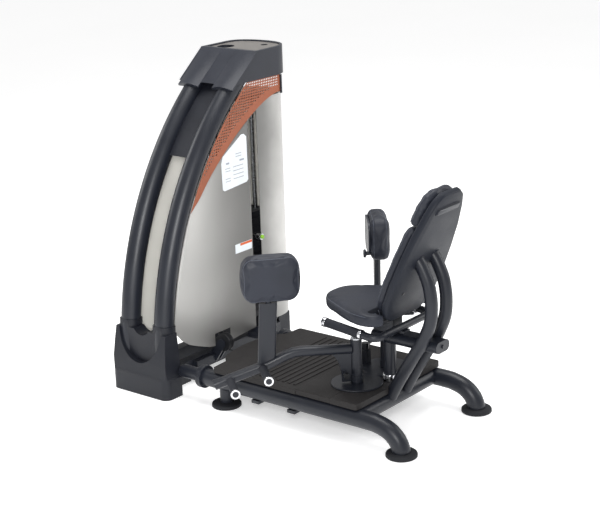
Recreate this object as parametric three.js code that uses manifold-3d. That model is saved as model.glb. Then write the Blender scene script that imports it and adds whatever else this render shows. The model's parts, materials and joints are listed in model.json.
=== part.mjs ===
// Seated inner and outer thigh machine with a guided weight stack.
// Millimetres, +Z up. The user sits facing +Y, towards the weight tower, with their right hand at +X.
// Parts are laid out from the rear feet (y = 0), then the whole group is moved so that its origin is on
// the floor under the middle of the machine.
import * as THREE from 'three';
import { mergeVertices } from 'three/addons/utils/BufferGeometryUtils.js';
import Module from 'manifold-3d';

const wasm = await Module();
wasm.setup();

// ---------------------------------------------------------------- driving dimensions
const ORIGIN_Y = 717;            // distance from the rear feet to the middle of the machine
const GAP = 0.3;                 // clearance between touching pieces
const SIDES = 16;                // facets round a tube

const RAIL_X = 275;              // side rails, either side of the centreline
const RAIL_R = 37.5;
const RAIL_Z = 113;
const BEARING_Z = 104;           // top of the spine between the rails, where the hip shafts stand
const RAIL_END_Y = 1020;
const CROSS_Y = 222;             // rear cross tube
const FRONT_FOOT_Y = 919;
const FRONT_FOOT_X = 266;
const FOOT_R = 64;
const FOOT_H = 20;
const FLANGE_R = 50;
const FLANGE_T = 13;

const DECK_HALF = 299;           // covers over the base
const DECK_TOP = 178;
const DECK_THICK = 25;
const DECK_BACK_Y = 198;
const COVER_SPLIT_Y = 332;
const PLATE_BACK_Y = 510;
const PLATE_FRONT_Y = 960;
const RIB_COUNT = 9;
const RIB_PITCH = 30;

const PIVOT_X = 104;             // hip pivots
const PIVOT_Y = 339;
const SLEEVE_R = 24;
const SLEEVE_TOP = 370;
const DISC_R = 109;
const LEVER_Z = 246;             // top of the block that carries the range lever
const ARM_SPREAD = THREE.MathUtils.degToRad(49);
const ARM_W = 38;
const ARM_H = 44;
const PAD_POST_S = 371;          // distance of the pad post from the pivot along the arm
const PAD_S = 345;
const PAD_SPIGOT_S = 356;        // upright pin the thigh pad turns on
const PAD_SPIGOT_Z = 560;
const PAD_Z = 664;
const PAD_LENGTH = 242;
const PAD_HEIGHT = 198;
const PAD_THICK = 82;
const PEG_STATIONS = [391, 526];
const PEG_LENGTH = 150;

const SEAT_POST_Y = 245;
const SEAT_POST_R = 26;
const BEAM_Z = 376;
const BEAM_W = 96;
const BEAM_H = 48;
const SEAT_TOP = 527;
const SEAT_THICK = 56;
const NOTCH_HALF = 163;          // half width of the notch that the back stands in
const HANDLE_X = 195;
const HANDLE_R = 16;
const GRIP_R = 18.5;

const BACK_LEAN = THREE.MathUtils.degToRad(23.5);
const BACK_FOOT = [172, 463];    // y and z of the foot of the back shell's rear face
const SHELL_THICK = 30;
const BACK_TUBE_X = 53;
const BACK_TUBE_R = 26;
const BACK_PAD = 42;             // thickness of the back cushion and of the headrest
const HEAD_PAD = 52;

const TOWER_FRONT_Y = 1230;      // front and rear curved tubes
const TOWER_REAR_Y = 1430;
const TOWER_MID_Y = (TOWER_FRONT_Y + TOWER_REAR_Y) / 2;
const TOWER_TUBE_R = 44;
const SOCKET_R = 50;             // collars of the casting round the tubes
const CAST_RIGHT = -286;         // right side of the casting under the curved tubes
const ARC_R = 1480;              // radius of the curved tubes
const ARC_X = -310;              // x of the curve's vertical tangent
const ARC_Z = 150;               // height of that tangent
const CAP_BOTTOM = 1292;
const CAP_TOP = 1420;
const SHEET_Y = 1189;            // outside of the front sheet
const SHEET_T = 3;
const SLOT_LEFT = 263;
const SLOT_RIGHT = 325;
const SHROUD_RIGHT = 595;
const STACK_X = 305;
const PLATE_W = 350;
const PLATE_D = 104;
const PLATE_H = 34;
const STACK_BOTTOM = 150;
const FIXED_PLATES = 12;
const LIFTED_PLATES = 2;
const ROD_OFFSET = 150;
const ROD_R = 10;
const ROD_TOP = 1190;
const DRUM_R = 75;               // cable drums on the hip pivots, and the cable
const CABLE_R = 3;
const CABLE_Z = 121;
const LOW_PULLEY = [10, 1160, 158];
const LOW_PULLEY_R = 37;
const TOP_PULLEY = [263, 1330, 1215];
const TOP_PULLEY_R = 45;
const PULLEY_W = 18;

// ---------------------------------------------------------------- finishes
const FINISH = {
  frame: { color: 0x30333e, roughness: 0.42, metalness: 0.25 },
  vinyl: { color: 0x3a3d48, roughness: 0.55, metalness: 0 },
  plastic: { color: 0x23252d, roughness: 0.6, metalness: 0 },
  deck: { color: 0x38363a, roughness: 0.75, metalness: 0 },
  grip: { color: 0x2f3038, roughness: 0.8, metalness: 0 },
  rubber: { color: 0x1b1d22, roughness: 0.85, metalness: 0 },
  chrome: { color: 0xd8dbe0, roughness: 0.12, metalness: 1 },
  silver: { color: 0xb6b6b6, roughness: 0.35, metalness: 0.9 },
  copper: { color: 0xa5694f, roughness: 0.5, metalness: 0.3 },
  iron: { color: 0x2a2b2e, roughness: 0.7, metalness: 0.5 },
  green: { color: 0x7ea83c, roughness: 0.5, metalness: 0 },
};

const machine = new THREE.Group();

// ---------------------------------------------------------------- making and joining solids
function addMesh(name, geometry, finish, parent = machine) {
  const mesh = new THREE.Mesh(geometry, new THREE.MeshStandardMaterial(FINISH[finish]));
  mesh.name = name;
  parent.add(mesh);
  return mesh;
}

function welded(geometry) {
  const bare = geometry.clone();
  for (const key of Object.keys(bare.attributes)) {
    if (key !== 'position') bare.deleteAttribute(key);
  }
  return mergeVertices(bare, 1e-3);
}

function toSolid(geometry) {
  const clean = welded(geometry);
  return new wasm.Manifold(new wasm.Mesh({
    numProp: 3,
    vertProperties: new Float32Array(clean.attributes.position.array),
    triVerts: new Uint32Array(clean.index.array),
  }));
}

function fromSolid(solid) {
  const mesh = solid.getMesh();
  const geometry = new THREE.BufferGeometry();
  geometry.setAttribute('position', new THREE.BufferAttribute(new Float32Array(mesh.vertProperties), 3));
  geometry.setIndex(new THREE.BufferAttribute(new Uint32Array(mesh.triVerts), 1));
  return geometry;
}

function join(...geometries) {
  return fromSolid(geometries.map(toSolid).reduce((a, b) => a.add(b)));
}

function cut(geometry, ...tools) {
  return fromSolid(tools.map(toSolid).reduce((a, b) => a.subtract(b), toSolid(geometry)));
}

// ---------------------------------------------------------------- basic shapes, placed as they are made
function block(x0, x1, y0, y1, z0, z1) {
  const g = new THREE.BoxGeometry(x1 - x0, y1 - y0, z1 - z0);
  return g.translate((x0 + x1) / 2, (y0 + y1) / 2, (z0 + z1) / 2);
}

// A cylinder whose axis runs along 'x', 'y' or 'z', centred at the given point.
function rod(axis, r, length, x, y, z, sides = SIDES) {
  const g = new THREE.CylinderGeometry(r, r, length, sides);
  if (axis === 'x') g.rotateZ(-Math.PI / 2);
  if (axis === 'z') g.rotateX(Math.PI / 2);
  return g.translate(x, y, z);
}

// A solid of revolution about a vertical axis, from [radius, height] pairs that start and end on the axis.
function turned(profile, x, y, z, sides = 28) {
  const points = profile.map(([r, h]) => new THREE.Vector2(r, h));
  return new THREE.LatheGeometry(points, sides).rotateX(Math.PI / 2).translate(x, y, z);
}

function roundShape(r, sides = SIDES) {
  const shape = new THREE.Shape();
  for (let i = 0; i < sides; i += 1) {
    const a = (i / sides) * 2 * Math.PI;
    if (i === 0) shape.moveTo(r * Math.cos(a), r * Math.sin(a));
    else shape.lineTo(r * Math.cos(a), r * Math.sin(a));
  }
  shape.closePath();
  return shape;
}

function roundedRect(w, h, r) {
  const shape = new THREE.Shape();
  shape.moveTo(-w / 2 + r, -h / 2);
  shape.lineTo(w / 2 - r, -h / 2);
  shape.absarc(w / 2 - r, -h / 2 + r, r, -Math.PI / 2, 0);
  shape.lineTo(w / 2, h / 2 - r);
  shape.absarc(w / 2 - r, h / 2 - r, r, 0, Math.PI / 2);
  shape.lineTo(-w / 2 + r, h / 2);
  shape.absarc(-w / 2 + r, h / 2 - r, r, Math.PI / 2, Math.PI);
  shape.lineTo(-w / 2, -h / 2 + r);
  shape.absarc(-w / 2 + r, -h / 2 + r, r, Math.PI, 1.5 * Math.PI);
  return shape;
}

function points3(list) {
  return list.map((p) => new THREE.Vector3(...p));
}

// A path straight from point to point, whose joints are mitred.
class Polyline extends THREE.Curve {
  constructor(points) {
    super();
    this.points = points;
    this.last = points.length - 1;
  }

  getPointAt(t) {
    return this.points[Math.round(t * this.last)].clone();
  }

  getTangentAt(t) {
    const i = Math.round(t * this.last);
    const here = this.points[i];
    const before = here.clone().sub(this.points[Math.max(i - 1, 0)]).normalize();
    const after = this.points[Math.min(i + 1, this.last)].clone().sub(here).normalize();
    return before.add(after).normalize();
  }
}

// Points spaced evenly along a smooth curve through the given ones.
function smooth(list, count) {
  const curve = new THREE.CatmullRomCurve3(points3(list), false, 'centripetal');
  return curve.getSpacedPoints(count).map((p) => [p.x, p.y, p.z]);
}

// A bar of the given section swept along the points.
function swept(points, section, curveSegments = 4) {
  const path = new Polyline(points3(points));
  return new THREE.ExtrudeGeometry(section, { steps: points.length - 1, curveSegments, extrudePath: path });
}

function tube(points, r, sides = SIDES) {
  return swept(points, roundShape(r, sides), 1);
}

// A slab with the given plan, from height z0 to z1.
function slab(shape, z0, z1, curveSegments = 6) {
  const g = new THREE.ExtrudeGeometry(shape, { depth: z1 - z0, bevelEnabled: false, curveSegments });
  return g.translate(0, 0, z0);
}

// A plate whose outline is drawn in X and Z, from y0 to y1.
function upright(shape, y0, y1, curveSegments = 6) {
  const g = new THREE.ExtrudeGeometry(shape, { depth: y1 - y0, bevelEnabled: false, curveSegments });
  return g.rotateX(Math.PI / 2).translate(0, y1, 0);
}

function polygon(list) {
  return new THREE.Shape(list.map(([x, y]) => new THREE.Vector2(x, y)));
}

// ---------------------------------------------------------------- base frame
function footDisc(x, y) {
  const r = FOOT_R;
  return turned([[0, 0], [r - 6, 0], [r, 5], [r, 12], [r - 7, FOOT_H], [0, FOOT_H]], x, y, 0, 18);
}

function railPath(x) {
  const bend = [[x, 0, FOOT_H - 4], [x, 4, 34], [x, 22, 66], [x, 58, 94], [x, 108, 109], [x, 160, RAIL_Z]];
  return [...smooth(bend, 10), [x, RAIL_END_Y, RAIL_Z]];
}

function railTube(side) {
  const x = side * RAIL_X;
  const frontX = side * FRONT_FOOT_X;
  const post = rod('z', RAIL_R - 4, RAIL_Z - FOOT_H + 4, frontX, FRONT_FOOT_Y, (RAIL_Z + FOOT_H - 4) / 2);
  const flange = rod('y', FLANGE_R, FLANGE_T, x, RAIL_END_Y + FLANGE_T / 2 - 1, RAIL_Z, 24);
  const bar = cut(tube(railPath(x), RAIL_R), block(x - 90, x + 90, -90, 60, -50, FOOT_H - 4));
  return join(bar, post, flange, footDisc(x, 0), footDisc(frontX, FRONT_FOOT_Y));
}

function buildBase() {
  addMesh('side_rail_left', railTube(-1), 'frame');
  addMesh('side_rail_right', railTube(1), 'frame');
  const fatRails = [-RAIL_X, RAIL_X].map((x) => rod('y', RAIL_R + GAP, 900, x, 500, RAIL_Z));
  const rear = rod('x', RAIL_R - 2, 2 * RAIL_X, 0, CROSS_Y, RAIL_Z);
  addMesh('rear_cross_tube', cut(rear, ...fatRails), 'frame');
  const spine = block(-40, 40, 316, 918, 70, BEARING_Z);
  const members = [316, 872].map((y) => block(-RAIL_X, RAIL_X, y, y + 46, 76, BEARING_Z));
  const straps = [540, 732].map((y) => block(-296, 296, y - 20, y + 20, 61, RAIL_Z - RAIL_R - GAP));
  const postR = RAIL_R - 4 + GAP;
  const frontPosts = [-1, 1].map((side) => rod('z', postR, 200, side * FRONT_FOOT_X, FRONT_FOOT_Y, 100));
  addMesh('base_spine', cut(join(spine, ...members, ...straps), ...fatRails, ...frontPosts), 'frame');
}

// ---------------------------------------------------------------- tubes that tie the base to the tower
function buildLinks() {
  for (const [side, label, end] of [[-1, 'left', 1156.7], [1, 'right', 1230.7]]) {
    const x = side * RAIL_X;
    const start = RAIL_END_Y + FLANGE_T - 1 + GAP;
    const ring = rod('y', FLANGE_R, FLANGE_T - 1, x, start + (FLANGE_T - 1) / 2, RAIL_Z, 24);
    const bar = rod('y', 29, end - start, x, (start + end) / 2, RAIL_Z);
    addMesh(`tower_link_${label}`, join(ring, bar), 'frame');
  }
}

// ---------------------------------------------------------------- deck
function buildDeck() {
  const top = DECK_TOP;
  const low = DECK_TOP - DECK_THICK;
  const clear = [-1, 1].map((s) => rod('z', SLEEVE_R + 4, 90, s * PIVOT_X, PIVOT_Y, low, 20));
  const postHole = rod('z', SEAT_POST_R + 4, 90, 0, SEAT_POST_Y, low, 16);
  const rearPlan = new THREE.Shape();
  rearPlan.moveTo(-DECK_HALF, COVER_SPLIT_Y - GAP);
  rearPlan.lineTo(-DECK_HALF, DECK_BACK_Y + 14);
  rearPlan.absarc(-DECK_HALF + 14, DECK_BACK_Y + 14, 14, Math.PI, 1.5 * Math.PI);
  rearPlan.lineTo(DECK_HALF - 14, DECK_BACK_Y);
  rearPlan.absarc(DECK_HALF - 14, DECK_BACK_Y + 14, 14, 1.5 * Math.PI, 2 * Math.PI);
  rearPlan.lineTo(DECK_HALF, COVER_SPLIT_Y - GAP);
  const rear = slab(rearPlan, low, top, 4);
  const tubes = [-1, 1].map((s) => tube(backTubePath(s * BACK_TUBE_X), BACK_TUBE_R + 2));
  addMesh('rear_cover', cut(rear, ...clear, postHole, ...tubes), 'plastic');
  const middle = block(-DECK_HALF, DECK_HALF, COVER_SPLIT_Y, PLATE_BACK_Y - GAP, low, top);
  addMesh('middle_cover', cut(middle, ...clear), 'deck');
  addMesh('footplate', footplate(low, top), 'deck');
}

function footplate(low, top) {
  const plan = new THREE.Shape();
  plan.moveTo(-DECK_HALF, PLATE_BACK_Y);
  plan.lineTo(DECK_HALF, PLATE_BACK_Y);
  plan.lineTo(DECK_HALF, PLATE_FRONT_Y - 12);
  plan.absarc(DECK_HALF - 12, PLATE_FRONT_Y - 12, 12, 0, Math.PI / 2);
  plan.lineTo(205, PLATE_FRONT_Y + 4);
  plan.quadraticCurveTo(180, 1000, 140, 1014);
  plan.quadraticCurveTo(0, 1050, -140, 1014);
  plan.quadraticCurveTo(-180, 1000, -205, PLATE_FRONT_Y + 4);
  plan.lineTo(-DECK_HALF + 12, PLATE_FRONT_Y);
  plan.absarc(-DECK_HALF + 12, PLATE_FRONT_Y - 12, 12, Math.PI / 2, Math.PI);
  const base = slab(plan, low, top - 2, 6);
  const ribs = [];
  for (let i = 0; i < RIB_COUNT; i += 1) {
    const y = PLATE_BACK_Y + 34 + i * RIB_PITCH;
    ribs.push(block(-262, 262, y - 7, y + 7, top - 4, top + 1));
  }
  return join(base, ...ribs);
}

// ---------------------------------------------------------------- hip pivots
function buildPivots() {
  const top = DECK_TOP + GAP;
  const discs = [];
  const bores = [];
  for (const [side, label] of [[-1, 'left'], [1, 'right']]) {
    const x = side * PIVOT_X;
    discs.push(turned([[0, 0], [DISC_R, 0], [DISC_R, 4], [DISC_R - 3, 6], [0, 6]], x, PIVOT_Y, top, 28));
    bores.push(rod('z', SLEEVE_R + 2, 40, x, PIVOT_Y, top, 20));
    const low = BEARING_Z + GAP;
    const high = SLEEVE_TOP + GAP;
    const shaft = rod('z', 15, high - low + 1, x, PIVOT_Y, (high + low + 1) / 2, 16);
    const capR = SLEEVE_R - 2;
    const cap = turned([[0, 0], [capR, 0], [capR, 7], [capR - 4, 11], [0, 11]], x, PIVOT_Y, high, 20);
    addMesh(`pivot_shaft_${label}`, join(shaft, cap), 'chrome');
  }
  const leverBlock = block(72, 104, 418, 452, top + 3, LEVER_Z);
  addMesh('pivot_plate', cut(join(...discs, leverBlock), ...bores), 'plastic');
}

// ---------------------------------------------------------------- swing arms
// Each arm is built with its pivot at the origin and the arm along +Y, then turned out by the spread.
function armLine() {
  const bend = [[0, 150, 336], [0, 255, 339], [0, 305, 324], [0, 360, 300], [0, 470, 266]];
  return [[0, 22, 331], ...smooth(bend, 9), [0, 590, 230]];
}

function pegHeight(s) {
  return s < 400 ? 288.5 : 247.5;
}

function armTube(extra = 0) {
  return swept(armLine(), roundedRect(ARM_H + extra, ARM_W + extra, 15), 2);
}

function armWeldment() {
  const foot = CABLE_Z - 8;
  const sleeve = rod('z', SLEEVE_R, SLEEVE_TOP - foot, 0, 0, (SLEEVE_TOP + foot) / 2, 20);
  const collar = rod('z', SLEEVE_R + 2.5, 28, 0, 0, 202, 20);
  const drum = rod('z', DRUM_R, 16, 0, 0, CABLE_Z, 24);
  const web = new THREE.Shape();
  web.moveTo(10, 190);
  web.lineTo(62, 190);
  web.quadraticCurveTo(62, 300, 122, 326);
  web.lineTo(10, 330);
  const plate = new THREE.ExtrudeGeometry(web, { depth: 12, bevelEnabled: false, curveSegments: 6 });
  plate.rotateX(Math.PI / 2).rotateZ(Math.PI / 2).translate(-6, 0, 0);
  const body = join(sleeve, collar, drum, armTube(), plate);
  return cut(body, rod('z', 15.4, 400, 0, 0, 300, 16));
}

function pegCore(side, s) {
  const z = pegHeight(s);
  const core = rod('x', 11, PEG_LENGTH + 10, side * (ARM_W / 2 + PEG_LENGTH / 2 - 5), s, z, 12);
  const base = rod('x', 18, 12, side * (ARM_W / 2 + 1), s, z, 20);
  const end = rod('x', 19, 8, side * (ARM_W / 2 + PEG_LENGTH - 4), s, z, 20);
  return join(core, base, end);
}

function pegGrip(side, s) {
  const z = pegHeight(s);
  const start = ARM_W / 2 + 7 + GAP;
  const end = ARM_W / 2 + PEG_LENGTH - 8 - GAP;
  const grip = rod('x', 17, end - start, side * ((start + end) / 2), s, z, 20);
  return cut(grip, rod('x', 11 + 2 * GAP, 300, side * 80, s, z, 12));
}

function padPost() {
  const post = slab(roundedRect(28, 74, 13), 250, PAD_SPIGOT_Z, 3);
  const lean = new THREE.Matrix4();
  lean.set(1, 0, 0, 0, 0, 1, -0.062, 0.062 * 320, 0, 0, 1, 0, 0, 0, 0, 1);
  post.translate(0, PAD_POST_S, 0).applyMatrix4(lean);
  const spigot = rod('z', 12, 90, 0, PAD_SPIGOT_S, PAD_SPIGOT_Z + 35, 16);
  return cut(join(post, spigot), armTube(2 * GAP), block(-60, 60, 300, 450, 200, 298));
}

function padCushion(side) {
  const shape = roundedRect(PAD_LENGTH, PAD_HEIGHT, 52);
  const options = {
    depth: PAD_THICK - 36, bevelEnabled: true, bevelThickness: 18, bevelSize: 18, bevelOffset: -18,
    bevelSegments: 2, curveSegments: 4,
  };
  const pad = new THREE.ExtrudeGeometry(shape, options);
  pad.translate(0, 0, -(PAD_THICK - 36) / 2);
  pad.rotateX(Math.PI / 2).rotateZ(Math.PI / 2).translate(side * 6, PAD_S, PAD_Z);
  return cut(pad, rod('z', 12 + 2 * GAP, 180, 0, PAD_SPIGOT_S, PAD_SPIGOT_Z - 8, 16));
}

function padPlate(side) {
  const shape = roundedRect(PAD_LENGTH - 50, PAD_HEIGHT - 50, 36);
  const plate = new THREE.ExtrudeGeometry(shape, { depth: 8, bevelEnabled: false, curveSegments: 4 });
  plate.translate(0, 0, -4).rotateX(Math.PI / 2).rotateZ(Math.PI / 2);
  plate.translate(side * (6 - PAD_THICK / 2 - 4 - GAP), PAD_S, PAD_Z);
  return join(plate, padKnob(side));
}

function padKnob(side) {
  const face = 6 - PAD_THICK / 2 - 8;
  const knob = turned([[0, -4], [9, -4], [9, 8], [17, 10], [19, 15], [17, 21], [0, 23]], 0, 0, 0, 16);
  knob.rotateY(side * -Math.PI / 2).translate(side * face, PAD_S - 60, PAD_Z - 66);
  return knob;
}

function pullPin(side) {
  const housing = rod('x', 9, 24, side * 16.3, 50, 226, 16);
  const knob = rod('x', 12, 16, side * 36.6, 50, 226, 20);
  const neck = rod('x', 5, 60, side * 12, 50, 226, 12);
  return [housing, join(knob, neck)];
}

function buildArm(side, label) {
  const arm = new THREE.Group();
  arm.position.set(side * PIVOT_X, PIVOT_Y, 0);
  arm.rotation.z = -side * ARM_SPREAD;
  machine.add(arm);
  const [housing, pin] = pullPin(side);
  const bore = rod('x', 5 + GAP, 120, side * 12, 50, 226, 12);
  const pegs = PEG_STATIONS.map((s) => pegCore(side, s));
  addMesh(`swing_arm_${label}`, cut(join(armWeldment(), housing, ...pegs), bore), 'frame', arm);
  addMesh(`range_pin_${label}`, pin, 'chrome', arm);
  addMesh(`peg_grip_inner_${label}`, pegGrip(side, PEG_STATIONS[0]), 'grip', arm);
  addMesh(`peg_grip_outer_${label}`, pegGrip(side, PEG_STATIONS[1]), 'grip', arm);
  addMesh(`pad_post_${label}`, padPost(), 'frame', arm);
  addMesh(`thigh_pad_${label}`, padCushion(side), 'vinyl', arm);
  addMesh(`pad_back_${label}`, padPlate(side), 'plastic', arm);
}

// ---------------------------------------------------------------- seat and its support
function seatPlan() {
  const shape = new THREE.Shape();
  shape.moveTo(0, 545);
  shape.bezierCurveTo(70, 545, 112, 500, 140, 440);
  shape.bezierCurveTo(170, 378, 215, 320, 222, 235);
  shape.bezierCurveTo(226, 180, 200, 150, 150, 146);
  shape.lineTo(-150, 146);
  shape.bezierCurveTo(-200, 150, -226, 180, -222, 235);
  shape.bezierCurveTo(-215, 320, -170, 378, -140, 440);
  shape.bezierCurveTo(-112, 500, -70, 545, 0, 545);
  return shape;
}

function seatCushion() {
  const rim = 14;
  const options = {
    depth: SEAT_THICK - 2 * rim, bevelEnabled: true, bevelThickness: rim, bevelSize: rim, bevelOffset: -rim,
    bevelSegments: 2, curveSegments: 7,
  };
  const whole = new THREE.ExtrudeGeometry(seatPlan(), options).translate(0, 0, SEAT_TOP - SEAT_THICK + rim);
  // The back stands in a notch between the two rear corners of the seat.
  return cut(whole, onBack(block(-NOTCH_HALF, NOTCH_HALF, -200, 900, -SHELL_THICK - BACK_PAD - 1, 300)));
}

function beam() {
  const section = roundedRect(BEAM_W, BEAM_H, BEAM_H / 2 - 1);
  const bar = new THREE.ExtrudeGeometry(section, { depth: 320, bevelEnabled: false, curveSegments: 5 });
  bar.rotateX(Math.PI / 2).translate(0, 305, BEAM_Z);
  const boss = rod('y', 8, 6, 0, -17, BEAM_Z, 16);
  const saddle = block(-22, 22, 158, 188, BEAM_Z + 10, 411.5);
  const tubes = [-1, 1].map((s) => tube(backTubePath(s * BACK_TUBE_X), BACK_TUBE_R + GAP));
  return cut(join(bar, boss, saddle), ...tubes);
}

function handlePath(side) {
  const x = side * HANDLE_X;
  const bend = [[x, 240, 435], [x, 205, 431], [x - side * 8, 183, 429], [x - side * 28, 172, 428],
    [x - side * 60, 172, 428]];
  return [[x, 428, 454], ...smooth(bend, 8), [0, 172, 428]];
}

function handleFrame() {
  return join(tube(handlePath(-1), HANDLE_R, 12), tube(handlePath(1), HANDLE_R, 12));
}

function gripTube(side, y0, y1, r, rIn) {
  const x = side * HANDLE_X;
  const zAt = (y) => 435 + (y - 240) * 0.101;
  const body = tube([[x, y0, zAt(y0)], [x, y1, zAt(y1)]], r, 16);
  return rIn ? cut(body, tube([[x, y0 - 20, zAt(y0 - 20)], [x, y1 + 20, zAt(y1 + 20)]], rIn, 12)) : body;
}

function buildSeat() {
  const collar = rod('z', 29, 22, 0, SEAT_POST_Y, DECK_TOP + GAP + 11, 24);
  const postLow = RAIL_Z + RAIL_R + GAP;
  const post = rod('z', SEAT_POST_R, BEAM_Z - postLow, 0, SEAT_POST_Y, (BEAM_Z + postLow) / 2, 20);
  const pan = block(-110, 110, 200, 420, 458, SEAT_TOP - SEAT_THICK - GAP);
  const riser = block(-34, 34, 204, 300, BEAM_Z, 460);
  addMesh('seat_beam', join(beam(), collar, post, pan, riser), 'frame');
  addMesh('seat_cushion', seatCushion(), 'vinyl');
  const ends = [];
  for (const [side, label] of [[-1, 'left'], [1, 'right']]) {
    addMesh(`handle_grip_${label}`, gripTube(side, 252, 416, GRIP_R, HANDLE_R + 2 * GAP), 'grip');
    ends.push(gripTube(side, 238, 252 - GAP, GRIP_R + 1.5, 0));
    ends.push(gripTube(side, 416 + GAP, 434, GRIP_R + 1, 0));
  }
  addMesh('handle_frame', join(handleFrame(), ...ends), 'frame');
}

// ---------------------------------------------------------------- range lever beside the right pivot
function buildLever() {
  const z = LEVER_Z + 16;
  const bar = tube([[88, 435, z], [188, 456, z], [236, 330, z]], 8, 12);
  const hub = rod('z', 15, 30, 88, 435, LEVER_Z + GAP + 15, 20);
  const tip = rod('z', 12, 26, 236, 330, z, 16);
  addMesh('range_lever', join(bar, hub, tip), 'frame');
}

// ---------------------------------------------------------------- backrest
// The back is drawn in its own plane: x across, t up the slope, n forward from the rear face.
function onBack(geometry) {
  geometry.rotateX(Math.PI / 2 + BACK_LEAN);
  return geometry.translate(0, BACK_FOOT[0], BACK_FOOT[1]);
}

function backOutline(inset, t0, t1) {
  const half = [[60, 603], [94, 576], [120, 522], [151, 420], [168, 310], [177, 200], [172, 100], [148, 44],
    [100, 12]];
  const kept = half.filter(([, t]) => t > t0 && t < t1).map(([x, t]) => [x - inset, t]);
  const widthAt = (t) => {
    const above = half.filter(([, h]) => h >= t).pop() || half[0];
    const below = half.find(([, h]) => h < t) || half[half.length - 1];
    const k = above[1] === below[1] ? 0 : (t - below[1]) / (above[1] - below[1]);
    return below[0] + k * (above[0] - below[0]) - inset;
  };
  const right = [[widthAt(t1) - 14, t1], ...kept, [widthAt(t0) - 14, t0]];
  const left = right.map(([x, t]) => [-x, t]).reverse();
  return polygon([...right, ...left].reverse());
}

function backSlab(inset, t0, t1, n0, n1, bevel) {
  const options = {
    depth: n1 - n0 - 2 * bevel, bevelEnabled: true, bevelThickness: bevel, bevelSize: bevel,
    bevelOffset: -bevel, bevelSegments: 2,
  };
  const g = new THREE.ExtrudeGeometry(backOutline(inset, t0, t1), options);
  return onBack(g.translate(0, 0, bevel - n1));
}

function backTubePath(x) {
  const bend = [[x, 57, 728], [x, 38, 697], [x, 15, 645], [x, 4, 590], [x, 2, 550], [x, 4, 512],
    [x, 12, 475], [x, 28, 436], [x, 48, 395], [x, 80, 345]];
  return [[x, 78, 750], ...smooth(bend, 10), [x, 145, 240], [x, 188, 165], [x, 206, 130]];
}

function buildBack() {
  const shell = backSlab(0, 10, 604, 0, SHELL_THICK, 8);
  const badge = block(-78, 78, 0, 26, -2, 5);
  badge.translate(0, 520, 0);
  addMesh('back_shell', join(shell, onBack(badge)), 'plastic');
  const front = SHELL_THICK + GAP;
  addMesh('back_cushion', backSlab(2, 16, 448, front, front + BACK_PAD, 16), 'vinyl');
  addMesh('headrest_cushion', backSlab(2, 450, 600, front, front + HEAD_PAD, 18), 'vinyl');
  const rearFace = onBack(block(-400, 400, -100, 900, -200, GAP));
  const crossTool = rod('x', RAIL_R - 2 + GAP, 400, 0, CROSS_Y, RAIL_Z);
  for (const [side, label] of [[-1, 'left'], [1, 'right']]) {
    const bar = tube(backTubePath(side * BACK_TUBE_X), BACK_TUBE_R);
    addMesh(`back_tube_${label}`, cut(bar, rearFace, crossTool), 'frame');
  }
}

// ---------------------------------------------------------------- weight tower
function arcX(z) {
  return ARC_X + ARC_R - Math.sqrt(ARC_R ** 2 - (z - ARC_Z) ** 2);
}

// A point offset by d to the right of the tube's centre line, at the tube's height z.
function arcPoint(z, d) {
  const lean = Math.asin((z - ARC_Z) / ARC_R);
  return [arcX(z) + d * Math.cos(lean), z - d * Math.sin(lean)];
}

function arcList(z0, z1, count, d) {
  const list = [];
  for (let i = 0; i <= count; i += 1) list.push(arcPoint(z0 + ((z1 - z0) * i) / count, d));
  return list;
}

function towerTube(y, r, z0 = 150, z1 = 1330, steps = 12) {
  const list = arcList(z0, z1, steps, 0).map(([x, z]) => [x, y, z]);
  return tube(list, r, 18);
}

function baseCasting() {
  const [x0, x1] = [-385, CAST_RIGHT];
  const profile = upright(polygon([
    [x0, 0], [x1, 0], [x1, 88], [x1 + 6, 94], [x1 + 6, 286], [-352, 286], [-364, 220], [-374, 150],
    [-379, 94], [x0, 88],
  ]), 1100, 1600);
  const side = new THREE.ExtrudeGeometry(polygon([
    [1157, 0], [1490, 0], [1490, 88], [1484, 94], [1474, 300], [1180, 300], [1164, 94], [1157, 88],
  ]), { depth: 200, bevelEnabled: false });
  side.rotateX(Math.PI / 2).rotateZ(Math.PI / 2).translate(-450, 0, 0);
  const plan = roundedRect(170, 333, 34);
  const rounded = slab(plan, -5, 400, 4).translate(x0 + 85, 1323.5, 0);
  const body = [side, rounded].map(toSolid).reduce((a, b) => a.intersect(b), toSolid(profile));
  const sockets = [TOWER_FRONT_Y, TOWER_REAR_Y].map((y) => towerTube(y, SOCKET_R, 100, 314, 3));
  const bores = [TOWER_FRONT_Y, TOWER_REAR_Y].map((y) => towerTube(y, TOWER_TUBE_R + GAP, 149.5));
  const scallop = rod('x', 1, 80, 0, 0, 0, 32);
  scallop.scale(1, 128, 175).translate(-346 - 40, TOWER_MID_Y, 318);
  const dip = rod('x', 50, 200, -330, TOWER_MID_Y, 312, 20);
  return cut(join(fromSolid(body), ...sockets), scallop, dip, ...bores);
}

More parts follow.
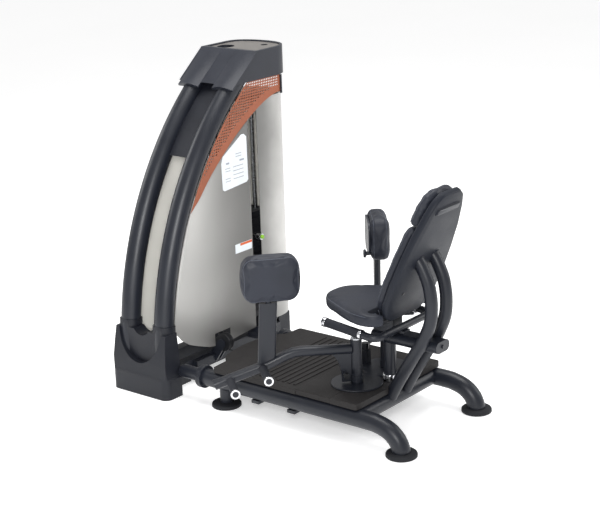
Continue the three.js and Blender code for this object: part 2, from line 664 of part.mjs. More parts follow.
function buildTowerFrame() {
  const above = block(0, 500, 1100, 1600, CAP_BOTTOM - GAP, 1500);
  addMesh('tower_tube_front', cut(towerTube(TOWER_FRONT_Y, TOWER_TUBE_R), above), 'frame');
  addMesh('tower_tube_rear', cut(towerTube(TOWER_REAR_Y, TOWER_TUBE_R), above), 'frame');
  addMesh('tower_base', baseCasting(), 'plastic');
  const beams = [1256, 1404].map((y) => block(CAST_RIGHT + 6 + GAP, 488, y - 25, y + 25, 40, 100));
  const ties = [-180, ...rodStations()].map((x) => block(x - 25, x + 25, 1270, 1390, 44, 100));
  const pads = [-180, 240].map((x) => block(x - 40, x + 40, 1240, 1420, 0, 44));
  const buffers = rodStations().map((x) => {
    const ring = rod('z', 24, STACK_BOTTOM - GAP - 95, x, TOWER_MID_Y, (STACK_BOTTOM - GAP + 95) / 2, 16);
    return cut(ring, rod('z', ROD_R + 2 * GAP, 60, x, TOWER_MID_Y, 130 + GAP, 12));
  });
  addMesh('tower_floor_frame', join(...beams, ...ties, ...pads, ...buffers, lowBracket()), 'frame');
  addMesh('tower_head_frame', topFrame(), 'frame');
  addMesh('tower_end_foot', block(488.3, 572, 1240, 1420, 0, 132), 'plastic');
}

// Carries the top pulley and the guide rods between the heads of the curved tubes.
function topFrame() {
  const [px, py, pz] = TOP_PULLEY;
  const half = PULLEY_W / 2 + 1;
  const fat = [TOWER_FRONT_Y, TOWER_REAR_Y].map((y) => towerTube(y, TOWER_TUBE_R + GAP));
  const bar = upright(polygon([[176, 1222], [236, 1222], [236, 1282], [226, 1282]]), 1262, 1398);
  const plate = block(134, 492, py - 34, py + 34, ROD_TOP + GAP, ROD_TOP + 12);
  const slot = block(px - 56, px + 56, py - half, py + half, ROD_TOP - 20, 1268);
  const cheeks = [-1, 1].map((s) => {
    const inner = py + s * (half + 4);
    return block(232, 330, inner - 4, inner + 4, ROD_TOP + 6, 1282);
  });
  const axle = rod('y', 8, 2 * half + 10, px, py, pz, 12);
  return cut(join(cut(join(bar, plate), slot), ...cheeks, axle), ...fat);
}

function rodStations() {
  return [STACK_X - ROD_OFFSET, STACK_X + ROD_OFFSET];
}

// A bar under the front sheet with two cheeks that hold the lower pulley.
function lowBracket() {
  const [px, py, pz] = LOW_PULLEY;
  const half = PULLEY_W / 2 + 1;
  const arm = block(-130, 60, 1206, 1236, 60, 96);
  const cheeks = [-1, 1].map((s) => {
    const x0 = px + s * half;
    const outline = polygon([[1206, 60], [1234, 60], [1234, 96], [1186, pz + 8], [py + 4, pz + 17],
      [py - 14, pz + 8], [py - 14, pz - 12]]);
    const cheek = new THREE.ExtrudeGeometry(outline, { depth: 8, bevelEnabled: false });
    return cheek.rotateX(Math.PI / 2).rotateZ(Math.PI / 2).translate(Math.min(x0, x0 + s * 8), 0, 0);
  });
  const axle = rod('x', 7, 2 * half + 10, px, py, pz, 12);
  return join(arm, ...cheeks, axle);
}

// ---------------------------------------------------------------- tower cap
function capPlan(inset) {
  const i = inset;
  const shape = new THREE.Shape();
  shape.moveTo(100 + i, 1181 + i);
  shape.lineTo(478, 1181 + i);
  shape.bezierCurveTo(545, 1184 + i, 597 - i, 1235, 599 - i, 1330);
  shape.bezierCurveTo(597 - i, 1425, 560, 1500 - i, 500, 1500 - i);
  shape.lineTo(100 + i, 1500 - i);
  return shape;
}

function capSolid() {
  const box = slab(capPlan(0), CAP_BOTTOM, CAP_TOP, 6);
  const front = polygon([[40, 1200], [150, 1278], [326, CAP_TOP], [330, 1480], [40, 1480]]);
  const slope = upright(front, 1100, 1600);
  return cut(box, slope);
}

function buildCap() {
  const inside = toSolid(block(346, 700, 1100, 1600, CAP_TOP - 20, CAP_TOP + 40));
  const recess = fromSolid(toSolid(slab(capPlan(16), CAP_TOP - 6, CAP_TOP + 20, 5)).intersect(inside));
  const bowl = rod('z', 40, 60, 408, 1424, CAP_TOP - 30, 24);
  const small = rod('z', 17, 24, 520, 1290, CAP_TOP - 12, 16);
  addMesh('tower_cap', cut(capSolid(), recess, bowl, small), 'plastic');
}

// ---------------------------------------------------------------- side panels of the tower
const ARC_EDGE = 25;             // how far right of the tube's centre line the side panels start

function lowerCurve() {
  return [[-150, 776], [-128, 796], [-79, 838], [-29, 893], [30, 950], [110, 1017], [190, 1078], [270, 1130],
    [340, 1168], [401, 1195], [462, 1212], [497, 1214]];
}

function panelOutline() {
  const left = arcList(800, 1311, 10, ARC_EDGE).reverse();
  return polygon([...lowerCurve().slice(1), [497, CAP_BOTTOM - GAP], ...left]);
}

function sheetOutline(right) {
  const left = arcList(272, 1180, 12, ARC_EDGE).reverse();
  return polygon([
    [-262, 262], [-237, 231], [-188, 197], [-137, 176], [-60, 148], [-12, 140], [90, 138], [right, 148],
    [right, 1200], ...left,
  ]);
}

// The rounded right end of the tower, as a curved sheet between two angles, from z0 to z1.
function endSheet(a0, a1, xStart, z0, z1) {
  const cx = 450;
  const rx = SHROUD_RIGHT - cx;
  const ry = TOWER_MID_Y - SHEET_Y;
  const outer = [];
  const inner = [];
  for (let i = 0; i <= 10; i += 1) {
    const a = a0 + ((a1 - a0) * i) / 10;
    outer.push([cx + rx * Math.cos(a), TOWER_MID_Y + ry * Math.sin(a)]);
    inner.push([cx + (rx - SHEET_T) * Math.cos(a), TOWER_MID_Y + (ry - SHEET_T) * Math.sin(a)]);
  }
  const y = Math.sign(a0 + a1) < 0 ? -1 : 1;
  const start = [xStart, TOWER_MID_Y + y * ry];
  const startIn = [xStart, TOWER_MID_Y + y * (ry - SHEET_T)];
  if (y > 0) outer.reverse();
  if (y < 0) inner.reverse();
  return slab(polygon([start, ...outer, ...inner, startIn]), z0, z1);
}

function buildPanels() {
  const notch = block(-22, 84, SHEET_Y - 10, SHEET_Y + 20, 0, 199);
  const front = upright(sheetOutline(SLOT_LEFT), SHEET_Y, SHEET_Y + SHEET_T);
  const sockets = [TOWER_FRONT_Y, TOWER_REAR_Y].map((y) => towerTube(y, SOCKET_R + GAP, 100, 316, 3));
  addMesh('shroud_front', cut(front, notch, ...sockets), 'silver');
  const half = Math.PI / 2;
  addMesh('shroud_front_end', endSheet(-half, -0.003, SLOT_RIGHT, 150, 1205), 'silver');
  const rearY = 2 * TOWER_MID_Y - SHEET_Y - SHEET_T;
  const rearFlat = cut(upright(sheetOutline(450), rearY, rearY + SHEET_T), ...sockets);
  addMesh('shroud_rear', join(rearFlat, endSheet(0.003, half, 448, 150, 1205)), 'silver');
  const copperY = SHEET_Y - SHEET_T - GAP;
  const copperRear = rearY + SHEET_T + GAP;
  addMesh('vent_panel_front', upright(panelOutline(), copperY, copperY + SHEET_T), 'copper');
  addMesh('vent_panel_rear', upright(panelOutline(), copperRear, copperRear + SHEET_T), 'copper');
  addMesh('spine_panel', spinePanel(), 'plastic');
}

function spinePanel() {
  const outer = arcList(1000, 1284, 8, -6);
  const inner = arcList(1000, 1284, 8, -2).reverse();
  const half = TOWER_TUBE_R + 5;
  return upright(polygon([...outer, ...inner].reverse()), TOWER_FRONT_Y + half, TOWER_REAR_Y - half);
}

// ---------------------------------------------------------------- weight stack
// A pile of plates on a common core, so that a groove shows at each joint.
function platePile(z, count) {
  const [w, d] = [PLATE_W / 2, PLATE_D / 2];
  const top = z + count * PLATE_H - 2;
  const core = block(STACK_X - w + 5, STACK_X + w - 5, TOWER_MID_Y - d + 5, TOWER_MID_Y + d - 5, z, top);
  const plates = [];
  for (let i = 0; i < count; i += 1) {
    const low = z + i * PLATE_H;
    plates.push(block(STACK_X - w, STACK_X + w, TOWER_MID_Y - d, TOWER_MID_Y + d, low, low + PLATE_H - 2));
  }
  const holes = rodStations().map((x) => rod('z', ROD_R + 3, 2000, x, TOWER_MID_Y, z, 8));
  return cut(join(core, ...plates), ...holes);
}

function buildStack() {
  const liftZ = STACK_BOTTOM + FIXED_PLATES * PLATE_H;
  const headZ = liftZ + LIFTED_PLATES * PLATE_H;
  const pinZ = liftZ + PLATE_H / 2;
  const pinY = TOWER_MID_Y - PLATE_D / 2;
  const stemHole = rod('z', 17, 2000, STACK_X, TOWER_MID_Y, STACK_BOTTOM, 8);
  addMesh('weight_plates', cut(platePile(STACK_BOTTOM, FIXED_PLATES), stemHole), 'iron');
  const stemLow = STACK_BOTTOM + 70;
  const stem = rod('z', 12, headZ - stemLow, STACK_X, TOWER_MID_Y, (headZ + stemLow) / 2, 12);
  const eyeTop = headZ + 78;
  const eye = block(STACK_X - 14, STACK_X + 14, TOWER_MID_Y - 10, TOWER_MID_Y + 10, headZ + 20, eyeTop);
  const pinHole = rod('y', 6, 150, STACK_X, pinY, pinZ, 12);
  addMesh('lifted_weights', cut(join(platePile(liftZ, LIFTED_PLATES + 1), stem, eye), pinHole), 'iron');
  const shank = rod('y', 4.5, 150, STACK_X, pinY - 9, pinZ, 12);
  const knob = rod('y', 15, 26, STACK_X, pinY - 84 - 13, pinZ, 20);
  addMesh('selector_pin', join(shank, knob), 'green');
  const rodLow = 100 + GAP;
  for (const [i, label] of [[0, 'left'], [1, 'right']]) {
    const bar = rod('z', ROD_R, ROD_TOP - rodLow, rodStations()[i], TOWER_MID_Y, (ROD_TOP + rodLow) / 2, 12);
    addMesh(`guide_rod_${label}`, bar, 'chrome');
  }
  buildCable(eyeTop);
}

// ---------------------------------------------------------------- pulleys and lifting cable
function pulley(axis, r, [x, y, z]) {
  const half = PULLEY_W / 2;
  const groove = CABLE_R * 2 + 1;
  const wheel = turned([
    [0, -half], [r, -half], [r, 1 - half], [r - groove, -CABLE_R - 1], [r - groove, CABLE_R + 1],
    [r, half - 1], [r, half], [0, half],
  ], 0, 0, 0, 24);
  const bored = cut(wheel, rod('z', axis === 'x' ? 7 + GAP : 8 + GAP, 60, 0, 0, 0, 12));
  if (axis === 'x') bored.rotateY(Math.PI / 2);
  if (axis === 'y') bored.rotateX(Math.PI / 2);
  return bored.translate(x, y, z);
}

function buildCable(eyeTop) {
  addMesh('lower_pulley', pulley('x', LOW_PULLEY_R, LOW_PULLEY), 'plastic');
  addMesh('top_pulley', pulley('y', TOP_PULLEY_R, TOP_PULLEY), 'plastic');
  const [lx, ly, lz] = LOW_PULLEY;
  const [tx, ty, tz] = TOP_PULLEY;
  const lr = LOW_PULLEY_R - CABLE_R;
  const tr = TOP_PULLEY_R - CABLE_R;
  const low = [-90, -71, -52, -33, -14, 5].map((deg) => {
    const a = THREE.MathUtils.degToRad(deg);
    return [lx, ly + lr * Math.cos(a), lz + lr * Math.sin(a)];
  });
  const top = [180, 162, 144, 126, 108, 90, 72, 54, 36, 18, 0].map((deg) => {
    const a = THREE.MathUtils.degToRad(deg);
    return [tx + tr * Math.cos(a), ty, tz + tr * Math.sin(a)];
  });
  const start = [PIVOT_X - DRUM_R - CABLE_R - 2 * GAP, PIVOT_Y, CABLE_Z + CABLE_R];
  addMesh('lift_cable', tube([start, ...low, ...top], CABLE_R, 8), 'rubber');
  const ends = [eyeTop + GAP, tz - 2];
  const drop = rod('z', CABLE_R, ends[1] - ends[0], tx + tr, ty, (ends[0] + ends[1]) / 2, 8);
  addMesh('head_cable', drop, 'rubber');
}

buildBase();
buildLinks();
buildDeck();
buildPivots();
buildArm(-1, 'left');
buildArm(1, 'right');
buildSeat();
buildLever();
buildBack();
buildTowerFrame();
buildCap();
buildPanels();
buildStack();

machine.position.y = -ORIGIN_Y;
export default machine;
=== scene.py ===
"""Looks of a seated hip trainer with a weight tower: a seat and backrest over a low frame, two swinging
leg arms with padded ends, and a curved twin-tube tower that shrouds the weight stack."""

import json
import math

import bmesh
import bpy
import numpy as np
from mathutils import Matrix, Vector
from mathutils.geometry import delaunay_2d_cdt

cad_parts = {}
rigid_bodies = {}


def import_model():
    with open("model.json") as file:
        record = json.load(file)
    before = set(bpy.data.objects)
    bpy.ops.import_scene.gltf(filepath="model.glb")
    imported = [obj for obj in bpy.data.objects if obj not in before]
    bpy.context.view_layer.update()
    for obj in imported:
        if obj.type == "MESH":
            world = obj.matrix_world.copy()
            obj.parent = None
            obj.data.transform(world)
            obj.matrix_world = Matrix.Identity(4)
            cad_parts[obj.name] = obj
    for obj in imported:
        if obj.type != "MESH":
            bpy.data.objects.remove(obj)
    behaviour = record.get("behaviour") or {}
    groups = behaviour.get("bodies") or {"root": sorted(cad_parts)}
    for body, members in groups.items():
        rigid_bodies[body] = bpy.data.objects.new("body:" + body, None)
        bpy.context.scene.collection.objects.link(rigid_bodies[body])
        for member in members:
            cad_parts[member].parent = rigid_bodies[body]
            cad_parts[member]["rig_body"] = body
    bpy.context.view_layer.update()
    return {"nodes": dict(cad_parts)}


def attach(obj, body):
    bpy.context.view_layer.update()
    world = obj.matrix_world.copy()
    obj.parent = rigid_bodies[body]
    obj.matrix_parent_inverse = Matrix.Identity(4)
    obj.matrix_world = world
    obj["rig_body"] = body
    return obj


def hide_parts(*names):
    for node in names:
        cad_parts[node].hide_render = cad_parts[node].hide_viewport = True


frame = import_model()

# Lengths and places are in millimetres from the rear feet, and row() turns them into the frame's metres.
MM = 0.001
ORIGIN_Y = 717.0
RAIL_X = 275.0
RAIL_R = 37.5
RAIL_Z = 113.0
RAIL_END_Y = 1020.0
FRONT_POST_X = 266.0
FRONT_POST_Y = 919.0
FOOT_R = 64.0
TOWER_TUBE_Y = (1230.0, 1430.0)
TOWER_TUBE_R = 44.0
ARC_R = 1480.0
ARC_CENTRE_X = 1170.0
ARC_Z = 150.0
TOWER_TUBE_FOOT = 150.0
TOWER_TUBE_TOP = 1291.4
PANEL_TOP = 1291.7
PANEL_EDGE_GAP = 26.0
PANEL_PLAIN_BAND = 34.0
PANEL_END_X = 497.0
SHEET_FACE_Y = 1188.6
BACK_LEAN = math.radians(23.5)
BACK_FOOT = (172.0, 463.0)
BACK_TUBE_X = 53.0
BACK_TUBE_R = 26.0
ARM_SPREAD = math.radians(49.0)
PIVOT = (104.0, 339.0)
GRIP_X = 195.0
GRIP_Y = 240.0
GRIP_Z = 435.0
GRIP_SLOPE = 0.101
HOLE_PITCH = 12.0
HOLE_R = 4.0
PANEL_FRONT_Y = 1185.9
PANEL_REAR_Y = 1474.1
SKIN_SWELLING = 6.0
SKIN_SLIMMING = 3.5
SEAM_DEPTH = 1.6
SEAM_WIDTH = 3.2
SEAM_CORD_R = 1.1

# Counts of sides, steps and points.
TUBE_SIDES = 48
HOLE_SIDES = 10
CORD_SIDES = 10
EDGE_STEPS = 5
CORNER_STEPS = 6
SWELL_STEPS = 20
SEAM_POINTS = 220

# Edges sharper than these angles, in degrees, stay crisp on spun pieces, flat plates and finished copies.
ROUND_CORNER = 30.0
PLATE_CORNER = 20.0
EDGE_CORNER = 32.0


def row(points):
    """Millimetre points as metres in the row frame."""
    moved = np.array(points, float)
    moved[..., 1] -= ORIGIN_Y
    return moved * MM


def shade(value):
    """A screen colour from 0 to 255 as linear light."""
    part = np.asarray(value, float) / 255.0
    return np.where(part <= 0.04045, part / 12.92, ((part + 0.055) / 1.055) ** 2.4)


# ---------------------------------------------------------------- finishes


def link(tree, a, b):
    """Joins two node sockets."""
    tree.links.new(a, b)


def noise(tree, vector, scale, detail):
    """A noise texture on the given coordinates."""
    node = tree.nodes.new("ShaderNodeTexNoise")
    node.inputs["Scale"].default_value = scale
    node.inputs["Detail"].default_value = detail
    link(tree, vector, node.inputs["Vector"])
    return node.outputs["Fac"]


def spread(tree, value, low, high):
    """A noise value, mostly between 0.3 and 0.7, spread over low to high."""
    node = tree.nodes.new("ShaderNodeMapRange")
    node.inputs["From Min"].default_value = 0.3
    node.inputs["From Max"].default_value = 0.7
    node.inputs["To Min"].default_value = low
    node.inputs["To Max"].default_value = high
    link(tree, value, node.inputs["Value"])
    return node.outputs["Result"]


def painted_reflections(tree, place, drift, tint, bands):
    """Multiplies a tint by soft light and dark bands across the sideways axis, painted reflections of a room
    as a satin sheet mirrors it. Each band is a place in metres and the share of light there. The sheet
    darkens near the floor."""
    sway = 0.16
    apart = tree.nodes.new("ShaderNodeSeparateXYZ")
    link(tree, place, apart.inputs["Vector"])
    shift = tree.nodes.new("ShaderNodeMath")
    shift.operation = "MULTIPLY_ADD"
    shift.inputs[1].default_value = sway
    link(tree, drift, shift.inputs[0])
    link(tree, apart.outputs["X"], shift.inputs[2])
    span = tree.nodes.new("ShaderNodeMapRange")
    span.inputs["From Min"].default_value = bands[0][0] + sway / 2.0
    span.inputs["From Max"].default_value = bands[-1][0] + sway / 2.0
    link(tree, shift.outputs["Value"], span.inputs["Value"])
    ramp = tree.nodes.new("ShaderNodeValToRGB")
    ramp.color_ramp.interpolation = "B_SPLINE"
    width = bands[-1][0] - bands[0][0]
    stops = ramp.color_ramp.elements
    while len(stops) < len(bands):
        stops.new(0.5)
    for stop, (at, share) in zip(stops, bands):
        stop.position = (at - bands[0][0]) / width
        stop.color = (share, share, share, 1.0)
    link(tree, span.outputs["Result"], ramp.inputs["Fac"])
    low = tree.nodes.new("ShaderNodeMapRange")
    low.interpolation_type = "SMOOTHSTEP"
    low.inputs["From Min"].default_value = 0.13
    low.inputs["From Max"].default_value = 0.45
    low.inputs["To Min"].default_value = 0.62
    low.inputs["To Max"].default_value = 1.0
    link(tree, apart.outputs["Z"], low.inputs["Value"])
    product = tree.nodes.new("ShaderNodeVectorMath")
    product.operation = "MULTIPLY"
    link(tree, tint, product.inputs[0])
    link(tree, ramp.outputs["Color"], product.inputs[1])
    scaled = tree.nodes.new("ShaderNodeVectorMath")
    scaled.operation = "SCALE"
    link(tree, product.outputs["Vector"], scaled.inputs[0])
    link(tree, low.outputs["Result"], scaled.inputs["Scale"])
    return scaled.outputs["Vector"]


def coating(name, colour, rough, patch, grain, relief, metal=0.0, vary=0.1, stretch=(1.0, 1.0, 1.0),
            pebbled=False, gloss=0.3, bands=None):
    """A surface finish: a base colour that drifts a little, a roughness that drifts with it, and fine
    relief. Patch and grain are the scales of the drift and of the relief."""
    material = bpy.data.materials.new(name)
    material.use_nodes = True
    tree = material.node_tree
    shader = tree.nodes["Principled BSDF"]
    place = tree.nodes.new("ShaderNodeTexCoord").outputs["Object"]
    mapping = tree.nodes.new("ShaderNodeMapping")
    mapping.inputs["Scale"].default_value = stretch
    link(tree, place, mapping.inputs["Vector"])
    drift = noise(tree, place, patch, 4.0)
    fine = noise(tree, mapping.outputs["Vector"], grain, 2.0)
    linear = shade(colour)
    mix = tree.nodes.new("ShaderNodeMix")
    mix.data_type = "RGBA"
    colours = [socket for socket in mix.inputs if socket.type == "RGBA"]
    colours[0].default_value = (*(linear * (1.0 - vary)), 1.0)
    colours[1].default_value = (*(linear * (1.0 + vary)), 1.0)
    link(tree, spread(tree, drift, 0.0, 1.0), mix.inputs[0])
    tinted = [socket for socket in mix.outputs if socket.type == "RGBA"][0]
    # Optional painted reflections: light and dark bands of a room multiplied into the colour.
    if bands:
        tinted = painted_reflections(tree, place, drift, tinted, bands)
    link(tree, tinted, shader.inputs["Base Color"])
    link(tree, spread(tree, drift, rough - 0.05, rough + 0.05), shader.inputs["Roughness"])
    shader.inputs["Metallic"].default_value = metal
    shader.inputs["Specular IOR Level"].default_value = gloss
    height = fine
    if pebbled:
        cells = tree.nodes.new("ShaderNodeTexVoronoi")
        cells.inputs["Scale"].default_value = grain
        link(tree, mapping.outputs["Vector"], cells.inputs["Vector"])
        height = cells.outputs["Distance"]
    bump = tree.nodes.new("ShaderNodeBump")
    bump.inputs["Strength"].default_value = relief
    bump.inputs["Distance"].default_value = 0.0004
    link(tree, height, bump.inputs["Height"])
    link(tree, bump.outputs["Normal"], shader.inputs["Normal"])
    return material


FRAME = coating("powder_coat_black", (26, 29, 37), 0.38, patch=9.0, grain=1400.0, relief=0.25, gloss=0.4)
CAST = coating("satin_casting", (25, 27, 34), 0.44, patch=12.0, grain=600.0, relief=0.3)
VINYL = coating("soft_vinyl", (37, 40, 49), 0.5, patch=7.0, vary=0.14, grain=620.0, relief=0.22,
                pebbled=True, gloss=0.3)
SHELL = coating("moulded_shell", (31, 34, 42), 0.48, patch=8.0, grain=1500.0, relief=0.2, gloss=0.18)
CAP = coating("cap_moulding", (32, 35, 44), 0.42, patch=10.0, grain=1500.0, relief=0.2, gloss=0.4)
TRAY = coating("tray_moulding", (104, 101, 98), 0.55, patch=30.0, grain=900.0, relief=0.3)
DECK = coating("deck_moulding", (35, 33, 33), 0.6, patch=20.0, vary=0.16, grain=520.0, relief=0.5,
               gloss=0.25)
GRIP = coating("foam_grip", (31, 33, 40), 0.75, patch=30.0, grain=420.0, relief=0.7)
RUBBER = coating("foot_rubber", (27, 28, 32), 0.7, patch=30.0, grain=500.0, relief=0.6)
CHROME = coating("bright_chrome", (225, 226, 230), 0.12, metal=1.0, patch=40.0, vary=0.03, grain=300.0,
                 relief=0.03)
STEEL = coating("ground_steel", (170, 172, 176), 0.25, metal=1.0, patch=60.0, grain=900.0, relief=0.1,
                stretch=(1.0, 1.0, 0.05))
# Painted reflections on the silver sheet: where across it the room's light and dark are mirrored, as places
# in metres and shares of light.
SILVER_PAINTED_REFLECTIONS = [(-0.38, 1.0), (-0.16, 0.95), (-0.02, 0.68), (0.10, 0.4), (0.25, 0.24), (0.33, 0.3),
                (0.40, 0.42), (0.48, 0.95), (0.60, 1.12)]
SILVER = coating("brushed_silver", (206, 205, 202), 0.4, metal=0.6, patch=2.6, vary=0.07, grain=900.0,
                 relief=0.12, stretch=(1.0, 1.0, 0.02), bands=SILVER_PAINTED_REFLECTIONS)
# The rear sheet is the same silver as the front one; this paler, plainer copy is painted light, so that its
# inner face, seen between the tower tubes, looks lit inside the shaded tower.
LIT_SILVER = coating("silver_painted_lit", (243, 241, 233), 0.55, patch=3.0, vary=0.04, grain=900.0,
                relief=0.1, stretch=(1.0, 1.0, 0.03))
COPPER = coating("copper_paint", (150, 88, 64), 0.5, metal=0.2, patch=12.0, vary=0.07, grain=1300.0,
                 relief=0.2)
IRON = coating("weight_iron", (34, 35, 39), 0.5, patch=25.0, vary=0.15, grain=260.0, relief=0.5)
PULLEY = coating("pulley_nylon", (24, 25, 28), 0.4, patch=40.0, grain=700.0, relief=0.2)
CABLE = coating("coated_cable", (22, 22, 25), 0.4, patch=60.0, grain=1500.0, relief=0.3)
GREEN = coating("lime_grip", (126, 178, 46), 0.45, patch=60.0, grain=800.0, relief=0.1)
PLACARD = coating("blank_placard", (222, 227, 231), 0.4, patch=14.0, vary=0.04, grain=1500.0, relief=0.05)
LINEWORK = coating("placard_lines", (150, 156, 166), 0.5, patch=14.0, vary=0.04, grain=1500.0, relief=0.05)
ORANGE = coating("caution_orange", (205, 92, 42), 0.5, patch=14.0, vary=0.04, grain=1500.0, relief=0.05)
THREAD = coating("seam_thread", (78, 82, 92), 0.6, patch=60.0, grain=2500.0, relief=0.4)
DARK = coating("dark_gap", (14, 15, 18), 0.6, patch=60.0, grain=900.0, relief=0.2)


# ---------------------------------------------------------------- surfaces


def new_piece(name, mesh, material, body):
    """Puts a mesh in the scene with its finish, riding a body of the machine."""
    piece = bpy.data.objects.new(name, mesh)
    bpy.context.scene.collection.objects.link(piece)
    mesh.materials.clear()
    mesh.materials.append(material)
    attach(piece, body)
    return piece


def smooth_shaded(mesh, corner):
    """Smooth shading with the edges sharper than the corner angle kept crisp."""
    mesh.shade_smooth()
    mesh.set_sharp_from_angle(angle=math.radians(corner))


def faces_out(mesh):
    """Merges doubled points and turns every face outwards."""
    work = bmesh.new()
    work.from_mesh(mesh)
    bmesh.ops.remove_doubles(work, verts=work.verts, dist=1e-6)
    bmesh.ops.recalc_face_normals(work, faces=work.faces)
    work.to_mesh(mesh)
    work.free()


def shell(name, rings, material, body, loop=False, corner=40.0):
    """A closed surface over a grid of rings, each joined to the next by four-sided faces.
    A row of rings that isn't a loop is closed by a fan to the middle of its first and of its last ring."""
    count, sides = rings.shape[:2]
    around = np.arange(sides)
    after = (around + 1) % sides
    rows = np.arange(count if loop else count - 1)[:, None]
    over = ((rows + 1) % count) * sides
    quads = np.stack([rows * sides + around, rows * sides + after, over + after, over + around], -1)
    points = rings.reshape(-1, 3)
    faces = quads.reshape(-1, 4).tolist()
    if not loop:
        points = np.vstack([points, rings[0].mean(0), rings[-1].mean(0)])
        first = np.full(sides, count * sides)
        last = (count - 1) * sides
        faces += np.stack([first, after, around], -1).tolist()
        faces += np.stack([first + 1, last + around, last + after], -1).tolist()
    mesh = bpy.data.meshes.new(name)
    mesh.from_pydata(points.tolist(), [], faces)
    faces_out(mesh)
    smooth_shaded(mesh, corner)
    return new_piece(name, mesh, material, body)


def circle(radius, sides=TUBE_SIDES):
    """A round section: radius times the cosine and sine of evenly spaced angles."""
    angle = np.linspace(0.0, 2.0 * math.pi, sides, endpoint=False)
    return radius * np.stack([np.cos(angle), np.sin(angle)], -1)


def rounded_box(width, height, corner):
    """A rectangle with quarter-circle corners, as points in order round it."""
    angle = np.linspace(0.0, math.pi / 2.0, CORNER_STEPS)
    turn = np.arange(4)[:, None] * (math.pi / 2.0)
    centre_x = np.array([1, -1, -1, 1])[:, None] * (width / 2.0 - corner)
    centre_y = np.array([1, 1, -1, -1])[:, None] * (height / 2.0 - corner)
    x = centre_x + corner * np.cos(angle + turn)
    y = centre_y + corner * np.sin(angle + turn)
    return np.stack([x.ravel(), y.ravel()], -1)


def flowing(points, count):
    """A curve through the points in cubic pieces, the slope at each point being that of its neighbours,
    set out at even steps of length."""
    known = np.asarray(points, float)
    padded = np.vstack([2 * known[0] - known[1], known, 2 * known[-1] - known[-2]])
    t = np.linspace(0.0, len(known) - 1.0, 12 * count)
    i = np.minimum(t.astype(int), len(known) - 2)
    u = (t - i)[:, None]
    a, b, c, d = padded[i], padded[i + 1], padded[i + 2], padded[i + 3]
    fine = b + 0.5 * ((c - a) * u + (2 * a - 5 * b + 4 * c - d) * u**2 + (3 * b - a - 3 * c + d) * u**3)
    length = np.concatenate([[0.0], np.cumsum(np.linalg.norm(np.diff(fine, axis=0), axis=1))])
    even = np.linspace(0.0, length[-1], count)
    return np.stack([np.interp(even, length, fine[:, k]) for k in range(fine.shape[1])], -1)


def unit(vectors):
    """Vectors at length one."""
    return vectors / np.linalg.norm(vectors, axis=-1, keepdims=True)


def directions(path):
    """The direction of travel at each ring of a carried path, the end rings sharing that of the end."""
    along = unit(np.gradient(path, axis=0))
    return np.vstack([np.tile(along[0], (EDGE_STEPS, 1)), along[1:-1], np.tile(along[-1], (EDGE_STEPS, 1))])


def carried(path, section, side, edge):
    """Rings of a section carried along a path, with both ends rounded over by a quarter circle of the edge
    size. The section's first axis is the side direction squared to the path, its second at right angles
    to both."""
    path = np.asarray(path, float)
    along = unit(np.gradient(path, axis=0))
    angle = np.linspace(math.pi / 2.0, 0.0, EDGE_STEPS)
    step = edge * (1.0 - np.sin(angle))
    inset = edge * (1.0 - np.cos(angle))
    centres = np.vstack([path[0] + step[:, None] * along[0], path[1:-1],
                         path[-1] - step[::-1, None] * along[-1]])
    ahead = directions(path)
    shrink = np.concatenate([inset, np.zeros(len(path) - 2), inset[::-1]])
    reach = np.abs(section).max()
    scale = 1.0 - shrink / reach
    first = unit(side - (ahead @ np.asarray(side, float))[:, None] * ahead)
    second = np.cross(ahead, first)
    flat = section[None, :, :] * scale[:, None, None]
    return centres[:, None, :] + flat[..., :1] * first[:, None, :] + flat[..., 1:] * second[:, None, :]


def bar(name, path, section, side, material, body, edge=1.5):
    """A section carried along a millimetre path as a closed piece."""
    return shell(name, row(carried(path, section, side, edge)), material, body)


def spun(profile, centre, axis, sides):
    """Rings of radius and height pairs spun about an axis: the centre, plus the height along the axis, plus
    the radius along evenly spaced spokes at right angles to it."""
    known = np.asarray(profile, float)
    axis = unit(np.asarray(axis, float))
    helper = np.array([1.0, 0.0, 0.0]) if abs(axis[0]) < 0.9 else np.array([0.0, 1.0, 0.0])
    first = unit(np.cross(axis, helper))
    second = np.cross(axis, first)
    ring = circle(1.0, sides)
    spokes = ring[:, :1] * first + ring[:, 1:] * second
    return np.asarray(centre, float) + known[:, 1, None, None] * axis + known[:, 0, None, None] * spokes


def turned(name, profile, centre, axis, material, body, sides=TUBE_SIDES, loop=False):
    """A profile spun about an axis as a closed piece. A looped profile closes on itself, as that of a ring
    with a bore does."""
    rings = spun(profile, centre, axis, sides)
    shell(name, row(rings), material, body, loop=loop, corner=ROUND_CORNER)


def collar(name, centre, axis, radius, length, material, body, edge=1.2, bore=0.0):
    """A ring or disc that starts at the centre and runs along the axis, its rims rounded."""
    turn = np.linspace(0.0, math.pi / 2.0, EDGE_STEPS)
    low = np.stack([radius - edge + edge * np.sin(turn), edge - edge * np.cos(turn)], -1)
    high = np.stack([radius - edge + edge * np.cos(turn), length - edge + edge * np.sin(turn)], -1)
    profile = np.vstack([low, high])
    if bore:
        entry = [[bore, edge], [bore + edge, 0.0]]
        profile = np.vstack([entry, profile, [bore + edge, length], [bore, length - edge]])
    turned(name, profile, centre, axis, material, body, loop=bool(bore))


def oblong(x, z, width, height):
    """Corners of an upright rectangle from its lower left one."""
    return [(x, z), (x + width, z), (x + width, z + height), (x, z + height)]


def plate(name, outline, back, front, material, body="base"):
    """A thin flat plate between two depths, with the given outline across and up."""
    flat = np.asarray(outline, float)
    rings = [np.stack([flat[:, 0], np.full(len(flat), y), flat[:, 1]], -1) for y in (back, front)]
    shell(name, row(np.stack(rings)), material, body, corner=PLATE_CORNER)


